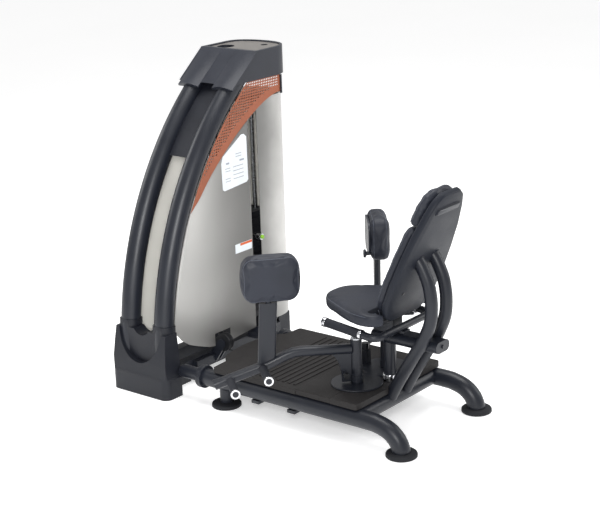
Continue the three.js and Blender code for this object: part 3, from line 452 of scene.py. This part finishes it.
def live_shape(piece):
    """The piece's mesh as it stands with its modifiers."""
    graph = bpy.context.evaluated_depsgraph_get()
    return bpy.data.meshes.new_from_object(piece.evaluated_get(graph))


def positions(mesh):
    """A mesh's points as an array."""
    values = np.empty(len(mesh.vertices) * 3)
    mesh.vertices.foreach_get("co", values)
    return values.reshape(-1, 3)


def directions_out(mesh):
    """The outward direction at each of a mesh's points, as an array."""
    values = np.empty(len(mesh.vertices) * 3)
    mesh.vertex_normals.foreach_get("vector", values)
    return values.reshape(-1, 3)


def set_positions(mesh, values):
    """Writes points back into a mesh."""
    mesh.vertices.foreach_set("co", np.asarray(values, float).ravel())
    mesh.update()


def fixed(piece):
    """Replaces the piece's mesh by what its modifiers make of it, and drops them."""
    mesh = live_shape(piece)
    piece.modifiers.clear()
    piece.data = mesh
    return mesh


def merged_copy(node):
    """A CAD node's mesh as a new mesh with its triangles joined up."""
    mesh = frame["nodes"][node].data.copy()
    work = bmesh.new()
    work.from_mesh(mesh)
    bmesh.ops.remove_doubles(work, verts=work.verts, dist=1e-5)
    work.to_mesh(mesh)
    work.free()
    shading = ("custom_normal", "sharp_edge", "sharp_face")
    for name in [a.name for a in mesh.attributes if a.name in shading]:
        mesh.attributes.remove(mesh.attributes[name])
    return mesh


def dressed(node, material, width):
    """A finished copy of a CAD node: flat triangles joined into faces, edges eased by a small bevel,
    curved sides shaded smooth."""
    mesh = merged_copy(node)
    mesh.name = node + "_finished"
    work = bmesh.new()
    work.from_mesh(mesh)
    bmesh.ops.dissolve_limit(work, angle_limit=math.radians(0.4), verts=work.verts, edges=work.edges)
    work.to_mesh(mesh)
    work.free()
    smooth_shaded(mesh, EDGE_CORNER)
    piece = new_piece(node + "_finished", mesh, material, frame["nodes"][node]["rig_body"])
    if width:
        bevel = piece.modifiers.new("eased_edges", "BEVEL")
        bevel.width = width * MM
        bevel.segments = 2
        bevel.limit_method = "ANGLE"
        bevel.angle_limit = math.radians(EDGE_CORNER)
        bevel.harden_normals = True
    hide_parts(node)


# ---------------------------------------------------------------- base


def rail_path(x):
    """Centreline of a side rail: up from the rear foot in a bend, then level past the front post to the end
    flange."""
    bend = [(0, 16), (4, 34), (22, 66), (58, 94), (108, 109), (160, RAIL_Z), (400, RAIL_Z), (700, RAIL_Z),
            (RAIL_END_Y, RAIL_Z)]
    return flowing([(x, y, z) for y, z in bend], 90)


def foot(name, x, y):
    """A levelling foot: a low domed disc of rubber with a rolled rim, a quarter circle above its wall."""
    roll = 7.0
    wall_top = 11.0
    turn = np.linspace(0.0, math.pi / 2.0, 7)
    rim = np.stack([FOOT_R - roll + roll * np.cos(turn), wall_top + roll * np.sin(turn)], -1)
    profile = np.vstack([[FOOT_R - 3.0, 0.0], [FOOT_R, 3.0], rim, [FOOT_R - 16.0, 19.2], [30.0, 20.0]])
    turned(name, profile, (x, y, 0.0), (0, 0, 1), RUBBER, "base")


def build_base():
    """Side rails with their feet, posts and end flanges, the cross tube, links, covers, footplate, spine,
    pivots and range lever."""
    for label, side in (("left", -1.0), ("right", 1.0)):
        rail = bar(f"side_rail_tube_{label}", rail_path(side * RAIL_X), circle(RAIL_R), (1, 0, 0), FRAME,
                   "base")
        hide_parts(f"side_rail_{label}")
        foot(f"rear_foot_{label}", side * RAIL_X, 0.0)
        foot(f"front_foot_{label}", side * FRONT_POST_X, FRONT_POST_Y)
        post = (side * FRONT_POST_X, FRONT_POST_Y, 19.0)
        collar(f"front_post_{label}", post, (0, 0, 1), 27.0, 75.0, FRAME, "base")
        flange = (side * RAIL_X, RAIL_END_Y - 1.0, RAIL_Z)
        collar(f"rail_flange_{label}", flange, (0, 1, 0), 50.0, 13.0, FRAME, "base")
        dressed(f"tower_link_{label}", FRAME, 1.5)
    across = flowing([(x, 222.0, RAIL_Z) for x in (-264.0, 0.0, 264.0)], 12)
    cross = bar("rear_cross_bar", across, circle(35.5), (0, 1, 0), FRAME, "base")
    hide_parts("rear_cross_tube")
    dressed("rear_cover", DECK, 3.0)
    dressed("middle_cover", DECK, 3.0)
    dressed("footplate", DECK, 1.6)
    finishes = {"base_spine": FRAME, "pivot_plate": FRAME, "pivot_shaft_left": STEEL,
                "pivot_shaft_right": STEEL, "range_lever": FRAME}
    for node, material in finishes.items():
        dressed(node, material, 1.0)


# ---------------------------------------------------------------- arms


def arm_points(side, points):
    """Points of an arm, across, along and up from its pivot, turned out by the arm's resting spread."""
    local = np.asarray(points, float)
    turn = -side * ARM_SPREAD
    x = side * PIVOT[0] + local[..., 0] * math.cos(turn) - local[..., 1] * math.sin(turn)
    y = PIVOT[1] + local[..., 0] * math.sin(turn) + local[..., 1] * math.cos(turn)
    return np.stack([x, y, local[..., 2]], -1)


def build_arm(label, side):
    """One swinging arm: its weldment, pad post, pad back and range pin, and two foam-covered pegs, each with
    a bright end ring and a dark plug."""
    outward = arm_points(side, (side, 0.0, 0.0)) - arm_points(side, (0.0, 0.0, 0.0))
    body = f"arm_{label}"
    dressed(f"swing_arm_{label}", FRAME, 1.5)
    dressed(f"pad_post_{label}", FRAME, 1.0)
    dressed(f"range_pin_{label}", PULLEY, 0.5)
    dressed(f"pad_back_{label}", CAP, 1.2)
    for name, along, height in (("inner", 391.0, 288.5), ("outer", 526.0, 247.5)):
        start = arm_points(side, (side * 21.0, along, height))
        line = start + np.linspace(0.0, 140.0, 8)[:, None] * outward
        grip = bar(f"peg_foam_{name}_{label}", line, circle(17.2), (0, 0, 1), GRIP, body, 2.0)
        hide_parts(f"peg_grip_{name}_{label}")
        tip = arm_points(side, (side * 160.5, along, height))
        collar(f"peg_ring_{name}_{label}", tip, outward, 19.4, 9.2, CHROME, body, bore=12.0)
        collar(f"peg_plug_{name}_{label}", tip + outward, outward, 12.4, 7.0, RUBBER, body)


# ---------------------------------------------------------------- seat


def grip_point(side, reach):
    """A point on a hand grip's centreline, the reach being how far forward it is of GRIP_Y, where the
    centreline is at GRIP_Z."""
    return np.array([side * GRIP_X, GRIP_Y + reach, GRIP_Z + reach * GRIP_SLOPE])


def build_seat():
    """Seat beam and handle frame, the foam hand grips, and the bright rings on them and on the post."""
    slope = unit(np.array([0.0, 1.0, GRIP_SLOPE]))
    dressed("seat_beam", FRAME, 1.5)
    dressed("handle_frame", FRAME, 1.0)
    collar("seat_post_ring", (0.0, 245.0, 179.0), (0, 0, 1), 31.0, 29.0, CHROME, "base", 2.5)
    for label, side in (("left", -1.0), ("right", 1.0)):
        line = grip_point(side, 12.5) + np.linspace(0.0, 163.0, 8)[:, None] * slope
        grip = bar(f"handle_foam_{label}", line, circle(18.7), (1, 0, 0), GRIP, "base", 2.0)
        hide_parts(f"handle_grip_{label}")
        collar(f"handle_ring_{label}", grip_point(side, -2.0), slope, 20.4, 13.6, CHROME, "base", 1.5)
        collar(f"handle_end_{label}", grip_point(side, 176.4), slope, 20.0, 18.0, CHROME, "base", 2.5)


def back_point(x, t, n):
    """A point of the leaning back: across, up its rear face, and forward of that face."""
    y = BACK_FOOT[0] - t * math.sin(BACK_LEAN) + n * math.cos(BACK_LEAN)
    z = BACK_FOOT[1] + t * math.cos(BACK_LEAN) + n * math.sin(BACK_LEAN)
    return np.stack(np.broadcast_arrays(x, y, z), -1)


def build_back():
    """Back shell, its two curved tubes with a ring on each, a blank plaque and two screws."""
    lean = unit(np.array([0.0, 0.62, 0.78]))
    dressed("back_shell", SHELL, 5.0)
    line = [(78, 750), (57, 728), (38, 697), (15, 645), (4, 590), (2, 550), (4, 512), (12, 475), (28, 436),
            (48, 395), (80, 345), (145, 240), (188, 165), (206, 130)]
    for label, x in (("left", -BACK_TUBE_X), ("right", BACK_TUBE_X)):
        path = flowing([(x, y, z) for y, z in line], 110)
        tube = bar(f"back_bow_{label}", path, circle(BACK_TUBE_R), (1, 0, 0), FRAME, "base", 0.8)
        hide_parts(f"back_tube_{label}")
        collar(f"back_bow_ring_{label}", (x, 62.0, 735.0), lean, 28.6, 7.0, SHELL, "base", 2.0)
    plaque = rounded_box(150.0, 24.0, 9.0)
    faces = [back_point(plaque[:, 0] * share, 533.0 + plaque[:, 1] * share, depth)
             for share, depth in ((1.0, -4.6), (1.0, -7.0), (0.97, -8.0))]
    shell("blank_plaque", row(np.stack(faces)), CAP, "base", corner=30.0)
    behind = back_point(0.0, 0.0, -1.0) - back_point(0.0, 0.0, 0.0)
    dome = [(8.5, -0.6), (7.0, 1.4), (4.0, 2.4), (0.01, 2.6)]
    for label, x in (("left", -88.0), ("right", 88.0)):
        turned(f"back_screw_{label}", dome, back_point(x, 148.0, 0.0), behind, PULLEY, "base", 24)


# ---------------------------------------------------------------- tower


# The lower bow of the perforated panels, as points across and up.
LOWER_EDGE = [(-150, 776), (-128, 796), (-79, 838), (-29, 893), (30, 950), (110, 1017), (190, 1078),
              (270, 1130), (340, 1168), (401, 1195), (462, 1212), (497, 1214)]


def tower_x(z):
    """Sideways place of the tower tubes' centreline at a height: a circular arc that starts upright."""
    return ARC_CENTRE_X - np.sqrt(ARC_R**2 - (z - ARC_Z) ** 2)


def level_top(rings, path, height):
    """Ends a tube level: points above the height go back to it along the tube's own direction."""
    ahead = directions(path)
    above = np.maximum(rings[..., 2] - height, 0.0)
    return rings - ahead[:, None, :] * (above / ahead[:, None, 2])[..., None]


def build_tower():
    """Curved twin tubes, and the finished base, frames, cap, sheets, rods, pulleys, cables and weights."""
    for label, y in zip(("front", "rear"), TOWER_TUBE_Y):
        z = np.linspace(TOWER_TUBE_FOOT, TOWER_TUBE_TOP + 24.6, 90)
        path = np.stack([tower_x(z), np.full_like(z, y), z], -1)
        sides = carried(path, circle(TOWER_TUBE_R, 64), (0, 1, 0), 0.8)
        rings = level_top(sides, path, TOWER_TUBE_TOP)
        tube = shell(f"tower_bow_{label}", row(rings), FRAME, "base")
        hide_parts(f"tower_tube_{label}")
    # The rear sheet takes the paler copy of the silver, painted light for its shaded inner face.
    finishes = {
        "tower_base": (CAST, 3.0), "tower_floor_frame": (FRAME, 1.0), "tower_head_frame": (FRAME, 1.0),
        "tower_end_foot": (CAST, 3.0), "tower_cap": (CAP, 4.0), "shroud_front": (SILVER, 0.6),
        "shroud_front_end": (SILVER, 0.6), "shroud_rear": (LIT_SILVER, 0.6), "spine_panel": (CAST, 1.0),
        "weight_plates": (IRON, 0.6), "lifted_weights": (IRON, 0.6), "selector_pin": (STEEL, 0.5),
        "guide_rod_left": (STEEL, 0.0), "guide_rod_right": (STEEL, 0.0), "lower_pulley": (PULLEY, 0.4),
        "top_pulley": (PULLEY, 0.4), "lift_cable": (CABLE, 0.0), "head_cable": (CABLE, 0.0),
    }
    for node, (material, width) in finishes.items():
        dressed(node, material, width)
    paint_tray()
    for label, y in zip(("front", "rear"), TOWER_TUBE_Y):
        cap_rib(label, y)
    open_behind("shroud_front_finished", 1150.0, 1200.0)
    open_behind("shroud_rear_finished", 1460.0, 1510.0)


def paint_tray():
    """Gives the sunk floor of the cap's tray its own grey. The floor's height is in metres."""
    floor_height = 1.414
    mesh = bpy.data.objects["tower_cap_finished"].data
    mesh.materials.append(TRAY)
    heights = np.empty(len(mesh.polygons) * 3)
    mesh.polygons.foreach_get("center", heights)
    floor_faces = np.abs(heights.reshape(-1, 3)[:, 2] - floor_height) < 0.0012
    mesh.polygons.foreach_set("material_index", floor_faces.astype(np.int32))


def cap_rib(label, middle):
    """A soft rib up the cap's slope over a tower tube. Across, its height is a half wave; up the slope it
    falls from full height at the lower edge to a trace at the top. It is closed by a flat underside."""
    slope_length = 222.0
    foot_x = 150.0
    foot_z = 1278.0
    up = np.linspace(-3.0, slope_length, 40)
    across = np.linspace(-60.0, 60.0, 31)
    u, v = np.meshgrid(up, across, indexing="ij")
    rise = (15.0 - 12.5 * np.clip(u / slope_length, 0.0, 1.0)) * np.cos(math.pi * v / 121.0) + 0.3
    along = unit(np.array([176.0, 142.0]))
    out = np.array([-along[1], along[0]])
    layers = [np.stack([foot_x + u * along[0] + lift * out[0], middle + v,
                        foot_z + u * along[1] + lift * out[1]], -1) for lift in (rise, -9.0)]
    rings = np.concatenate([layers[0], layers[1][:, ::-1]], axis=1)
    shell(f"cap_rib_{label}", row(rings), CAP, "base", corner=50.0)


def open_behind(name, near, far):
    """Takes a sheet away behind its perforated panel, so that the holes look into the tower."""
    bow = flowing(LOWER_EDGE, 60) + np.array([-14.0, 22.0])
    outline = np.vstack([bow, [[488.0, 1236.0], [488.0, 1400.0], [-400.0, 1400.0], [-400.0, 800.0]]])
    rings = [np.stack([outline[:, 0], np.full(len(outline), y), outline[:, 1]], -1) for y in (near, far)]
    tool = shell("sheet_opening_tool", row(np.stack(rings)), DARK, "base", corner=PLATE_CORNER)
    piece = bpy.data.objects[name]
    piece.modifiers.clear()
    cut = piece.modifiers.new("opening", "BOOLEAN")
    cut.operation = "DIFFERENCE"
    cut.solver = "EXACT"
    cut.object = tool
    fixed(piece)
    bpy.data.objects.remove(tool)


def panel_outline():
    """Outline of a perforated panel: along the lower bow, up the right end, along the top and down beside
    the tube."""
    bow = flowing(LOWER_EDGE, 60)
    z = np.linspace(1330.0, 790.0, 70)
    lean = np.arcsin((z - ARC_Z) / ARC_R)
    left = np.stack([tower_x(z) + PANEL_EDGE_GAP * np.cos(lean), z - PANEL_EDGE_GAP * np.sin(lean)], -1)
    corner = np.interp(PANEL_TOP, left[::-1, 1], left[::-1, 0])
    kept = left[(left[:, 1] > 800.0) & (left[:, 1] < 1288.0)]
    return np.vstack([bow[1:], [[PANEL_END_X, PANEL_TOP], [corner, PANEL_TOP]], kept])


def distance_to(points, line):
    """Least distance from each point to a chain of straight pieces."""
    start = line[:-1]
    step = np.diff(line, axis=0)
    offset = points[:, None, :] - start[None]
    share = np.clip((offset * step).sum(-1) / (step**2).sum(-1), 0.0, 1.0)
    return np.linalg.norm(offset - share[..., None] * step, axis=-1).min(1)


def panel_holes():
    """Centres of the holes on a square lattice, clear of the tube, the top and a plain band along the
    lower bow."""
    x, z = np.meshgrid(np.arange(-160.0, 496.0, HOLE_PITCH), np.arange(1284.0, 780.0, -HOLE_PITCH))
    centres = np.stack([x.ravel(), z.ravel()], -1)
    bow = flowing(LOWER_EDGE, 80)
    above = centres[:, 1] > np.interp(centres[:, 0], bow[:, 0], bow[:, 1])
    reach = (centres[:, 1] - ARC_Z) / ARC_R
    lean = np.arcsin(np.clip(reach, 0.0, 0.99))
    beside = (centres[:, 0] - tower_x(centres[:, 1])) * np.cos(lean) > PANEL_PLAIN_BAND
    inside = (distance_to(centres, bow) > PANEL_PLAIN_BAND) & (centres[:, 0] < 488.0)
    return centres[above & beside & inside]


def build_panel(label, y, outward):
    """A perforated panel: the outline and every hole are cut in one triangulated sheet, which is then given
    its thickness. Outward is the sign of the direction, along the machine, that its face looks in."""
    outline = panel_outline()
    centres = panel_holes()
    rim = circle(HOLE_R, HOLE_SIDES)
    rims = (centres[:, None, :] + rim[None]).reshape(-1, 2)
    points = np.vstack([outline, rims])
    edge_ids = np.arange(len(outline))
    edges = np.stack([edge_ids, (edge_ids + 1) % len(outline)], -1)
    starts = len(outline) + HOLE_SIDES * np.arange(len(centres))[:, None]
    around = np.arange(HOLE_SIDES)
    hole_edges = np.stack([starts + around, starts + (around + 1) % HOLE_SIDES], -1).reshape(-1, 2)
    all_edges = np.vstack([edges, hole_edges]).tolist()
    vectors = [Vector(p) for p in points.tolist()]
    found, _, faces, _, _, _ = delaunay_2d_cdt(vectors, all_edges, [], 1, 1e-4)
    flat = np.array([tuple(p) for p in found])
    triangles = np.array(faces)
    middle = flat[triangles].mean(1)
    nearest = np.empty(len(middle))
    for part in np.array_split(np.arange(len(middle)), 40):
        nearest[part] = np.linalg.norm(middle[part, None, :] - centres[None], axis=-1).min(1)
    kept = triangles[nearest > HOLE_R * 0.93]
    solid = np.stack([flat[:, 0], np.full(len(flat), y), flat[:, 1]], -1)
    mesh = bpy.data.meshes.new(f"perforated_panel_{label}")
    mesh.from_pydata(row(solid).tolist(), [], kept.tolist())
    work = bmesh.new()
    work.from_mesh(mesh)
    bmesh.ops.delete(work, geom=[v for v in work.verts if not v.link_faces], context="VERTS")
    bmesh.ops.recalc_face_normals(work, faces=work.faces)
    work.to_mesh(mesh)
    work.free()
    mesh.update()
    if mesh.polygons[0].normal.y * outward < 0.0:
        mesh.flip_normals()
    piece = new_piece(f"perforated_panel_{label}", mesh, COPPER, "base")
    wall = piece.modifiers.new("sheet_thickness", "SOLIDIFY")
    wall.thickness = 2.0 * MM
    wall.offset = -1.0
    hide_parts(f"vent_panel_{label}")


def build_tower_trim():
    """Small pieces on the tower: panel end trims, pulley cheeks, a placard with plain lines, a label with a
    plain strip, the selector's grip and the coloured bands on the weights."""
    for label, y in (("front", 1183.6), ("rear", 1473.4)):
        path = flowing([(499.5, y, 1205.0), (499.5, y, 1291.0)], 6)
        bar(f"panel_end_trim_{label}", path, rounded_box(9.0, 9.0, 2.0), (1, 0, 0), CAP, "base")
    for label, side in (("left", -1.0), ("right", 1.0)):
        wheel_side = (10.0 + side * 12.5 - 2.5, 1160.0, 158.0)
        collar(f"pulley_cheek_{label}", wheel_side, (1, 0, 0), 41.0, 5.0, PULLEY, "base")
    placard = [(74, 959), (86, 990), (214, 1066), (231, 1066), (248, 1052), (250, 856), (240, 846),
               (88, 834), (77, 842)]
    plate("blank_placard", placard, SHEET_FACE_Y, SHEET_FACE_Y - 1.0, PLACARD)
    lines = [(98, z, 34, 3) for z in (930, 918, 884, 872)]
    lines += [(150, z, 70, 3) for z in (930, 912, 894, 876)]
    lines += [(170, z, 40, 3) for z in (985, 973)]
    lines += [(104, 950, 22, 8), (196, 950, 30, 8)]
    for number, (x, z, width, height) in enumerate(lines):
        plate(f"placard_line_{number}", oblong(x, z, width, height), SHEET_FACE_Y - 1.1, SHEET_FACE_Y - 1.4,
              LINEWORK)
    label_outline = [(142, 531), (255, 531), (257, 573), (142, 573)]
    plate("caution_label", label_outline, SHEET_FACE_Y, SHEET_FACE_Y - 0.8, PLACARD)
    plate("caution_strip", oblong(176, 561, 80, 11), SHEET_FACE_Y - 0.9, SHEET_FACE_Y - 1.2, ORANGE)
    grip = [(4.0, 0.0), (10.0, 1.0), (12.5, 5.0), (12.0, 14.0), (9.0, 24.0), (9.5, 32.0), (7.0, 36.0),
            (2.0, 37.0)]
    turned("selector_grip", grip, (305.0, 1195.0, 575.0), (0, -1, 0), GREEN, "selector", 28)
    for number, z in enumerate((566.0, 588.0, 636.0)):
        plate(f"weight_band_{number}", oblong(262, z, 83, 7), 1277.6, 1276.8, GREEN, "stack")


# ---------------------------------------------------------------- cushions


def swollen(piece):
    """Blows the closed skin up as cloth under pressure, with no point moving further than SKIN_SWELLING."""
    rest = positions(piece.data)
    cloth = piece.modifiers.new("swelling", "CLOTH")
    cloth.settings.use_pressure = True
    cloth.settings.uniform_pressure_force = 4.0
    cloth.settings.effector_weights.gravity = 0.0
    cloth.settings.quality = 4
    cloth.collision_settings.use_collision = False
    cloth.point_cache.frame_start = 1
    cloth.point_cache.frame_end = SWELL_STEPS
    for step in range(1, SWELL_STEPS + 1):
        bpy.context.scene.frame_set(step)
    mesh = fixed(piece)
    bpy.context.scene.frame_set(1)
    moved = positions(mesh) - rest
    length = np.linalg.norm(moved, axis=1, keepdims=True)
    moved *= np.minimum(1.0, SKIN_SWELLING * MM / np.maximum(length, 1e-9))
    set_positions(mesh, rest + moved)


def seam_line(mesh, at, normal):
    """Where a plane cuts the skin: every edge that crosses it gives a point, the points are put in order by
    their angle about the middle, and their distance from it is read off at even angles and smoothed."""
    points = positions(mesh)
    ends = np.empty(len(mesh.edges) * 2, np.int64)
    mesh.edges.foreach_get("vertices", ends)
    ends = ends.reshape(-1, 2)
    height = (points - at) @ normal
    low = height[ends[:, 0]]
    high = height[ends[:, 1]]
    across = low * high < 0.0
    share = (low[across] / (low[across] - high[across]))[:, None]
    first = points[ends[across, 0]]
    second = points[ends[across, 1]]
    cut = first + share * (second - first)
    middle = (cut.max(0) + cut.min(0)) / 2.0
    helper = np.array([0.0, 0.0, 1.0]) if abs(normal[2]) < 0.9 else np.array([1.0, 0.0, 0.0])
    u = unit(np.cross(normal, helper))
    v = np.cross(normal, u)
    flat_u = (cut - middle) @ u
    flat_v = (cut - middle) @ v
    angle = np.arctan2(flat_v, flat_u)
    order = np.argsort(angle)
    reach = np.hypot(flat_u, flat_v)[order]
    angle = angle[order]
    even = np.linspace(-math.pi, math.pi, SEAM_POINTS, endpoint=False)
    radius = np.interp(even, angle, reach, period=2.0 * math.pi)
    radius = (np.roll(radius, 1) + 2.0 * radius + np.roll(radius, -1)) / 4.0
    return middle + radius[:, None] * (np.cos(even)[:, None] * u + np.sin(even)[:, None] * v)


def seam_cord(name, ring, normal, body):
    """A thin round cord laid along a closed seam line."""
    ahead = unit(np.roll(ring, -1, axis=0) - np.roll(ring, 1, axis=0))
    first = np.broadcast_to(normal, ring.shape)
    second = np.cross(ahead, first)
    section = circle(SEAM_CORD_R * MM, CORD_SIDES)
    rings = ring[:, None, :] + section[None, :, :1] * first[:, None, :]
    rings = rings + section[None, :, 1:] * second[:, None, :]
    shell(name, rings, THREAD, body, loop=True, corner=80.0)


def creased(mesh, at, normal):
    """Pulls the skin in along a seam: each point moves against its normal by the seam's depth times a bell
    curve of its distance from the seam's plane, and less where the skin faces along the plane's normal."""
    points = positions(mesh)
    normals = directions_out(mesh)
    height = (points - at) @ normal
    pull = SEAM_DEPTH * MM * np.exp(-((height / (SEAM_WIDTH * MM)) ** 2))
    facing = np.abs(normals @ normal)
    pull *= np.clip(1.3 - facing, 0.0, 1.0)
    set_positions(mesh, points - pull[:, None] * normals)


def cushion(node, voxel, seams):
    """A stuffed piece: a copy of the plain solid gets an even skin, is slimmed a little, swells under
    pressure, is smoothed and subdivided, and gets its seams. Each seam is a plane across the piece, given by
    a point and a direction."""
    mesh = merged_copy(node)
    body = frame["nodes"][node]["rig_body"]
    piece = new_piece(node + "_stuffed", mesh, VINYL, body)
    skin = piece.modifiers.new("even_skin", "REMESH")
    skin.mode = "VOXEL"
    skin.voxel_size = voxel * MM
    mesh = fixed(piece)
    set_positions(mesh, positions(mesh) - SKIN_SLIMMING * MM * directions_out(mesh))
    swollen(piece)
    rounding = piece.modifiers.new("rounding", "SMOOTH")
    rounding.factor = 0.6
    rounding.iterations = 3
    finer = piece.modifiers.new("finer_skin", "SUBSURF")
    finer.levels = 1
    finer.render_levels = 1
    mesh = fixed(piece)
    mesh.name = node + "_stuffed"
    for number, (at, direction) in enumerate(seams):
        place = row(at)
        normal = unit(np.asarray(direction, float))
        creased(mesh, place, normal)
        line = seam_line(mesh, place, normal)
        seam_cord(f"{node}_seam_{number}", line, normal, body)
    mesh.materials.clear()
    mesh.materials.append(VINYL)
    mesh.shade_smooth()
    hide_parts(node)


def build_cushions():
    """Seat, back, headrest and the two thigh pads."""
    cushion("seat_cushion", 6.0, [((0.0, 330.0, 517.0), (0, 0, 1))])
    ahead = back_point(0.0, 0.0, 1.0) - back_point(0.0, 0.0, 0.0)
    cushion("back_cushion", 6.0, [(back_point(0.0, 200.0, 60.0), ahead)])
    cushion("headrest_cushion", 5.0, [(back_point(0.0, 520.0, 68.0), ahead)])
    for label, side in (("left", -1.0), ("right", 1.0)):
        across = arm_points(side, (1.0, 0.0, 0.0)) - arm_points(side, (0.0, 0.0, 0.0))
        planes = [(arm_points(side, (side * 6.0 + reach, 345.0, 664.0)), across) for reach in (-27.0, 27.0)]
        cushion(f"thigh_pad_{label}", 5.0, planes)


# ---------------------------------------------------------------- room


def aimed(name, data, place, target):
    """Stands a lamp at a place and turns it to its target."""
    lamp = bpy.data.objects.new(name, data)
    bpy.context.scene.collection.objects.link(lamp)
    lamp.location = place
    aim = Vector(target) - Vector(place)
    lamp.rotation_mode = "QUATERNION"
    lamp.rotation_quaternion = aim.to_track_quat("-Z", "Y")


def build_sky():
    """A white surround that the eye sees brighter than the machine does."""
    world = bpy.data.worlds.new("pale_room")
    bpy.context.scene.world = world
    world.use_nodes = True
    tree = world.node_tree
    dim = tree.nodes["Background"]
    bright = tree.nodes.new("ShaderNodeBackground")
    for light, strength in ((dim, 0.55), (bright, 1.0)):
        light.inputs["Color"].default_value = (1.0, 1.0, 1.0, 1.0)
        light.inputs["Strength"].default_value = strength
    ray = tree.nodes.new("ShaderNodeLightPath")
    choice = tree.nodes.new("ShaderNodeMixShader")
    link(tree, ray.outputs["Is Camera Ray"], choice.inputs[0])
    link(tree, dim.outputs["Background"], choice.inputs[1])
    link(tree, bright.outputs["Background"], choice.inputs[2])
    link(tree, choice.outputs["Shader"], tree.nodes["World Output"].inputs["Surface"])


def build_floor():
    """A wide pale floor just under the feet, with a faint glow of its own."""
    mesh = bpy.data.meshes.new("pale_floor")
    reach = 14.0
    drop = -0.0005
    corners = [(x, y, drop) for x, y in ((-reach, -reach), (reach, -reach), (reach, reach), (-reach, reach))]
    mesh.from_pydata(corners, [], [(0, 1, 2, 3)])
    floor = bpy.data.objects.new("pale_floor", mesh)
    bpy.context.scene.collection.objects.link(floor)
    paint = coating("floor_paint", (250, 250, 250), 0.6, patch=1.0, vary=0.01, grain=40.0, relief=0.02)
    mesh.materials.append(paint)
    surface = paint.node_tree.nodes["Principled BSDF"]
    surface.inputs["Emission Color"].default_value = (1.0, 1.0, 1.0, 1.0)
    surface.inputs["Emission Strength"].default_value = 0.42


def build_lamps():
    """Four soft round lamps about the machine, and a narrow beam on the tower's open side."""
    lamps = (("key_panel", (-4.2, -3.0, 2.8), 1.4, 130.0), ("fill_panel", (3.6, -3.0, 2.6), 3.0, 60.0),
             ("top_panel", (0.4, 0.2, 4.2), 3.2, 130.0), ("rim_panel", (-1.0, 4.2, 2.4), 2.4, 50.0))
    for name, place, size, power in lamps:
        data = bpy.data.lights.new(name, "AREA")
        data.shape = "DISK"
        data.size = size
        data.energy = power
        aimed(name, data, place, (0.0, 0.1, 0.6))
    beam = bpy.data.lights.new("gap_lamp", "SPOT")
    beam.energy = 420.0
    beam.spot_size = math.radians(17.0)
    beam.spot_blend = 1.0
    beam.shadow_soft_size = 0.25
    aimed("gap_lamp", beam, (-4.3, -3.3, 2.1), (-0.12, 0.74, 0.6))


def build_camera():
    """A long lens behind and to the left of the seat, looking a little down."""
    place = (-4.842, -3.939, 2.530)
    azimuth = math.radians(-50.98)
    elevation = math.radians(16.89)
    roll = math.radians(-1.99)
    back = Vector((math.sin(azimuth) * math.cos(elevation), -math.cos(azimuth) * math.cos(elevation),
                   math.sin(elevation)))
    right = (-back).cross(Vector((0.0, 0.0, 1.0))).normalized()
    up = right.cross(-back)
    turned_right = math.cos(roll) * right + math.sin(roll) * up
    turned_up = -math.sin(roll) * right + math.cos(roll) * up
    data = bpy.data.cameras.new("studio_camera")
    data.sensor_fit = "HORIZONTAL"
    data.sensor_width = 36.0
    data.lens = 92.59
    data.clip_end = 60.0
    camera = bpy.data.objects.new("studio_camera", data)
    bpy.context.scene.collection.objects.link(camera)
    turn = Matrix((turned_right, turned_up, back)).transposed()
    camera.matrix_world = Matrix.Translation(place) @ turn.to_4x4()
    bpy.context.scene.camera = camera


build_base()
build_arm("left", -1.0)
build_arm("right", 1.0)
build_seat()
build_back()
build_tower()
build_panel("front", PANEL_FRONT_Y, -1.0)
build_panel("rear", PANEL_REAR_Y, 1.0)
build_tower_trim()
build_cushions()
build_sky()
build_floor()
build_lamps()
build_camera()
bpy.context.scene.view_settings.view_transform = "Standard"
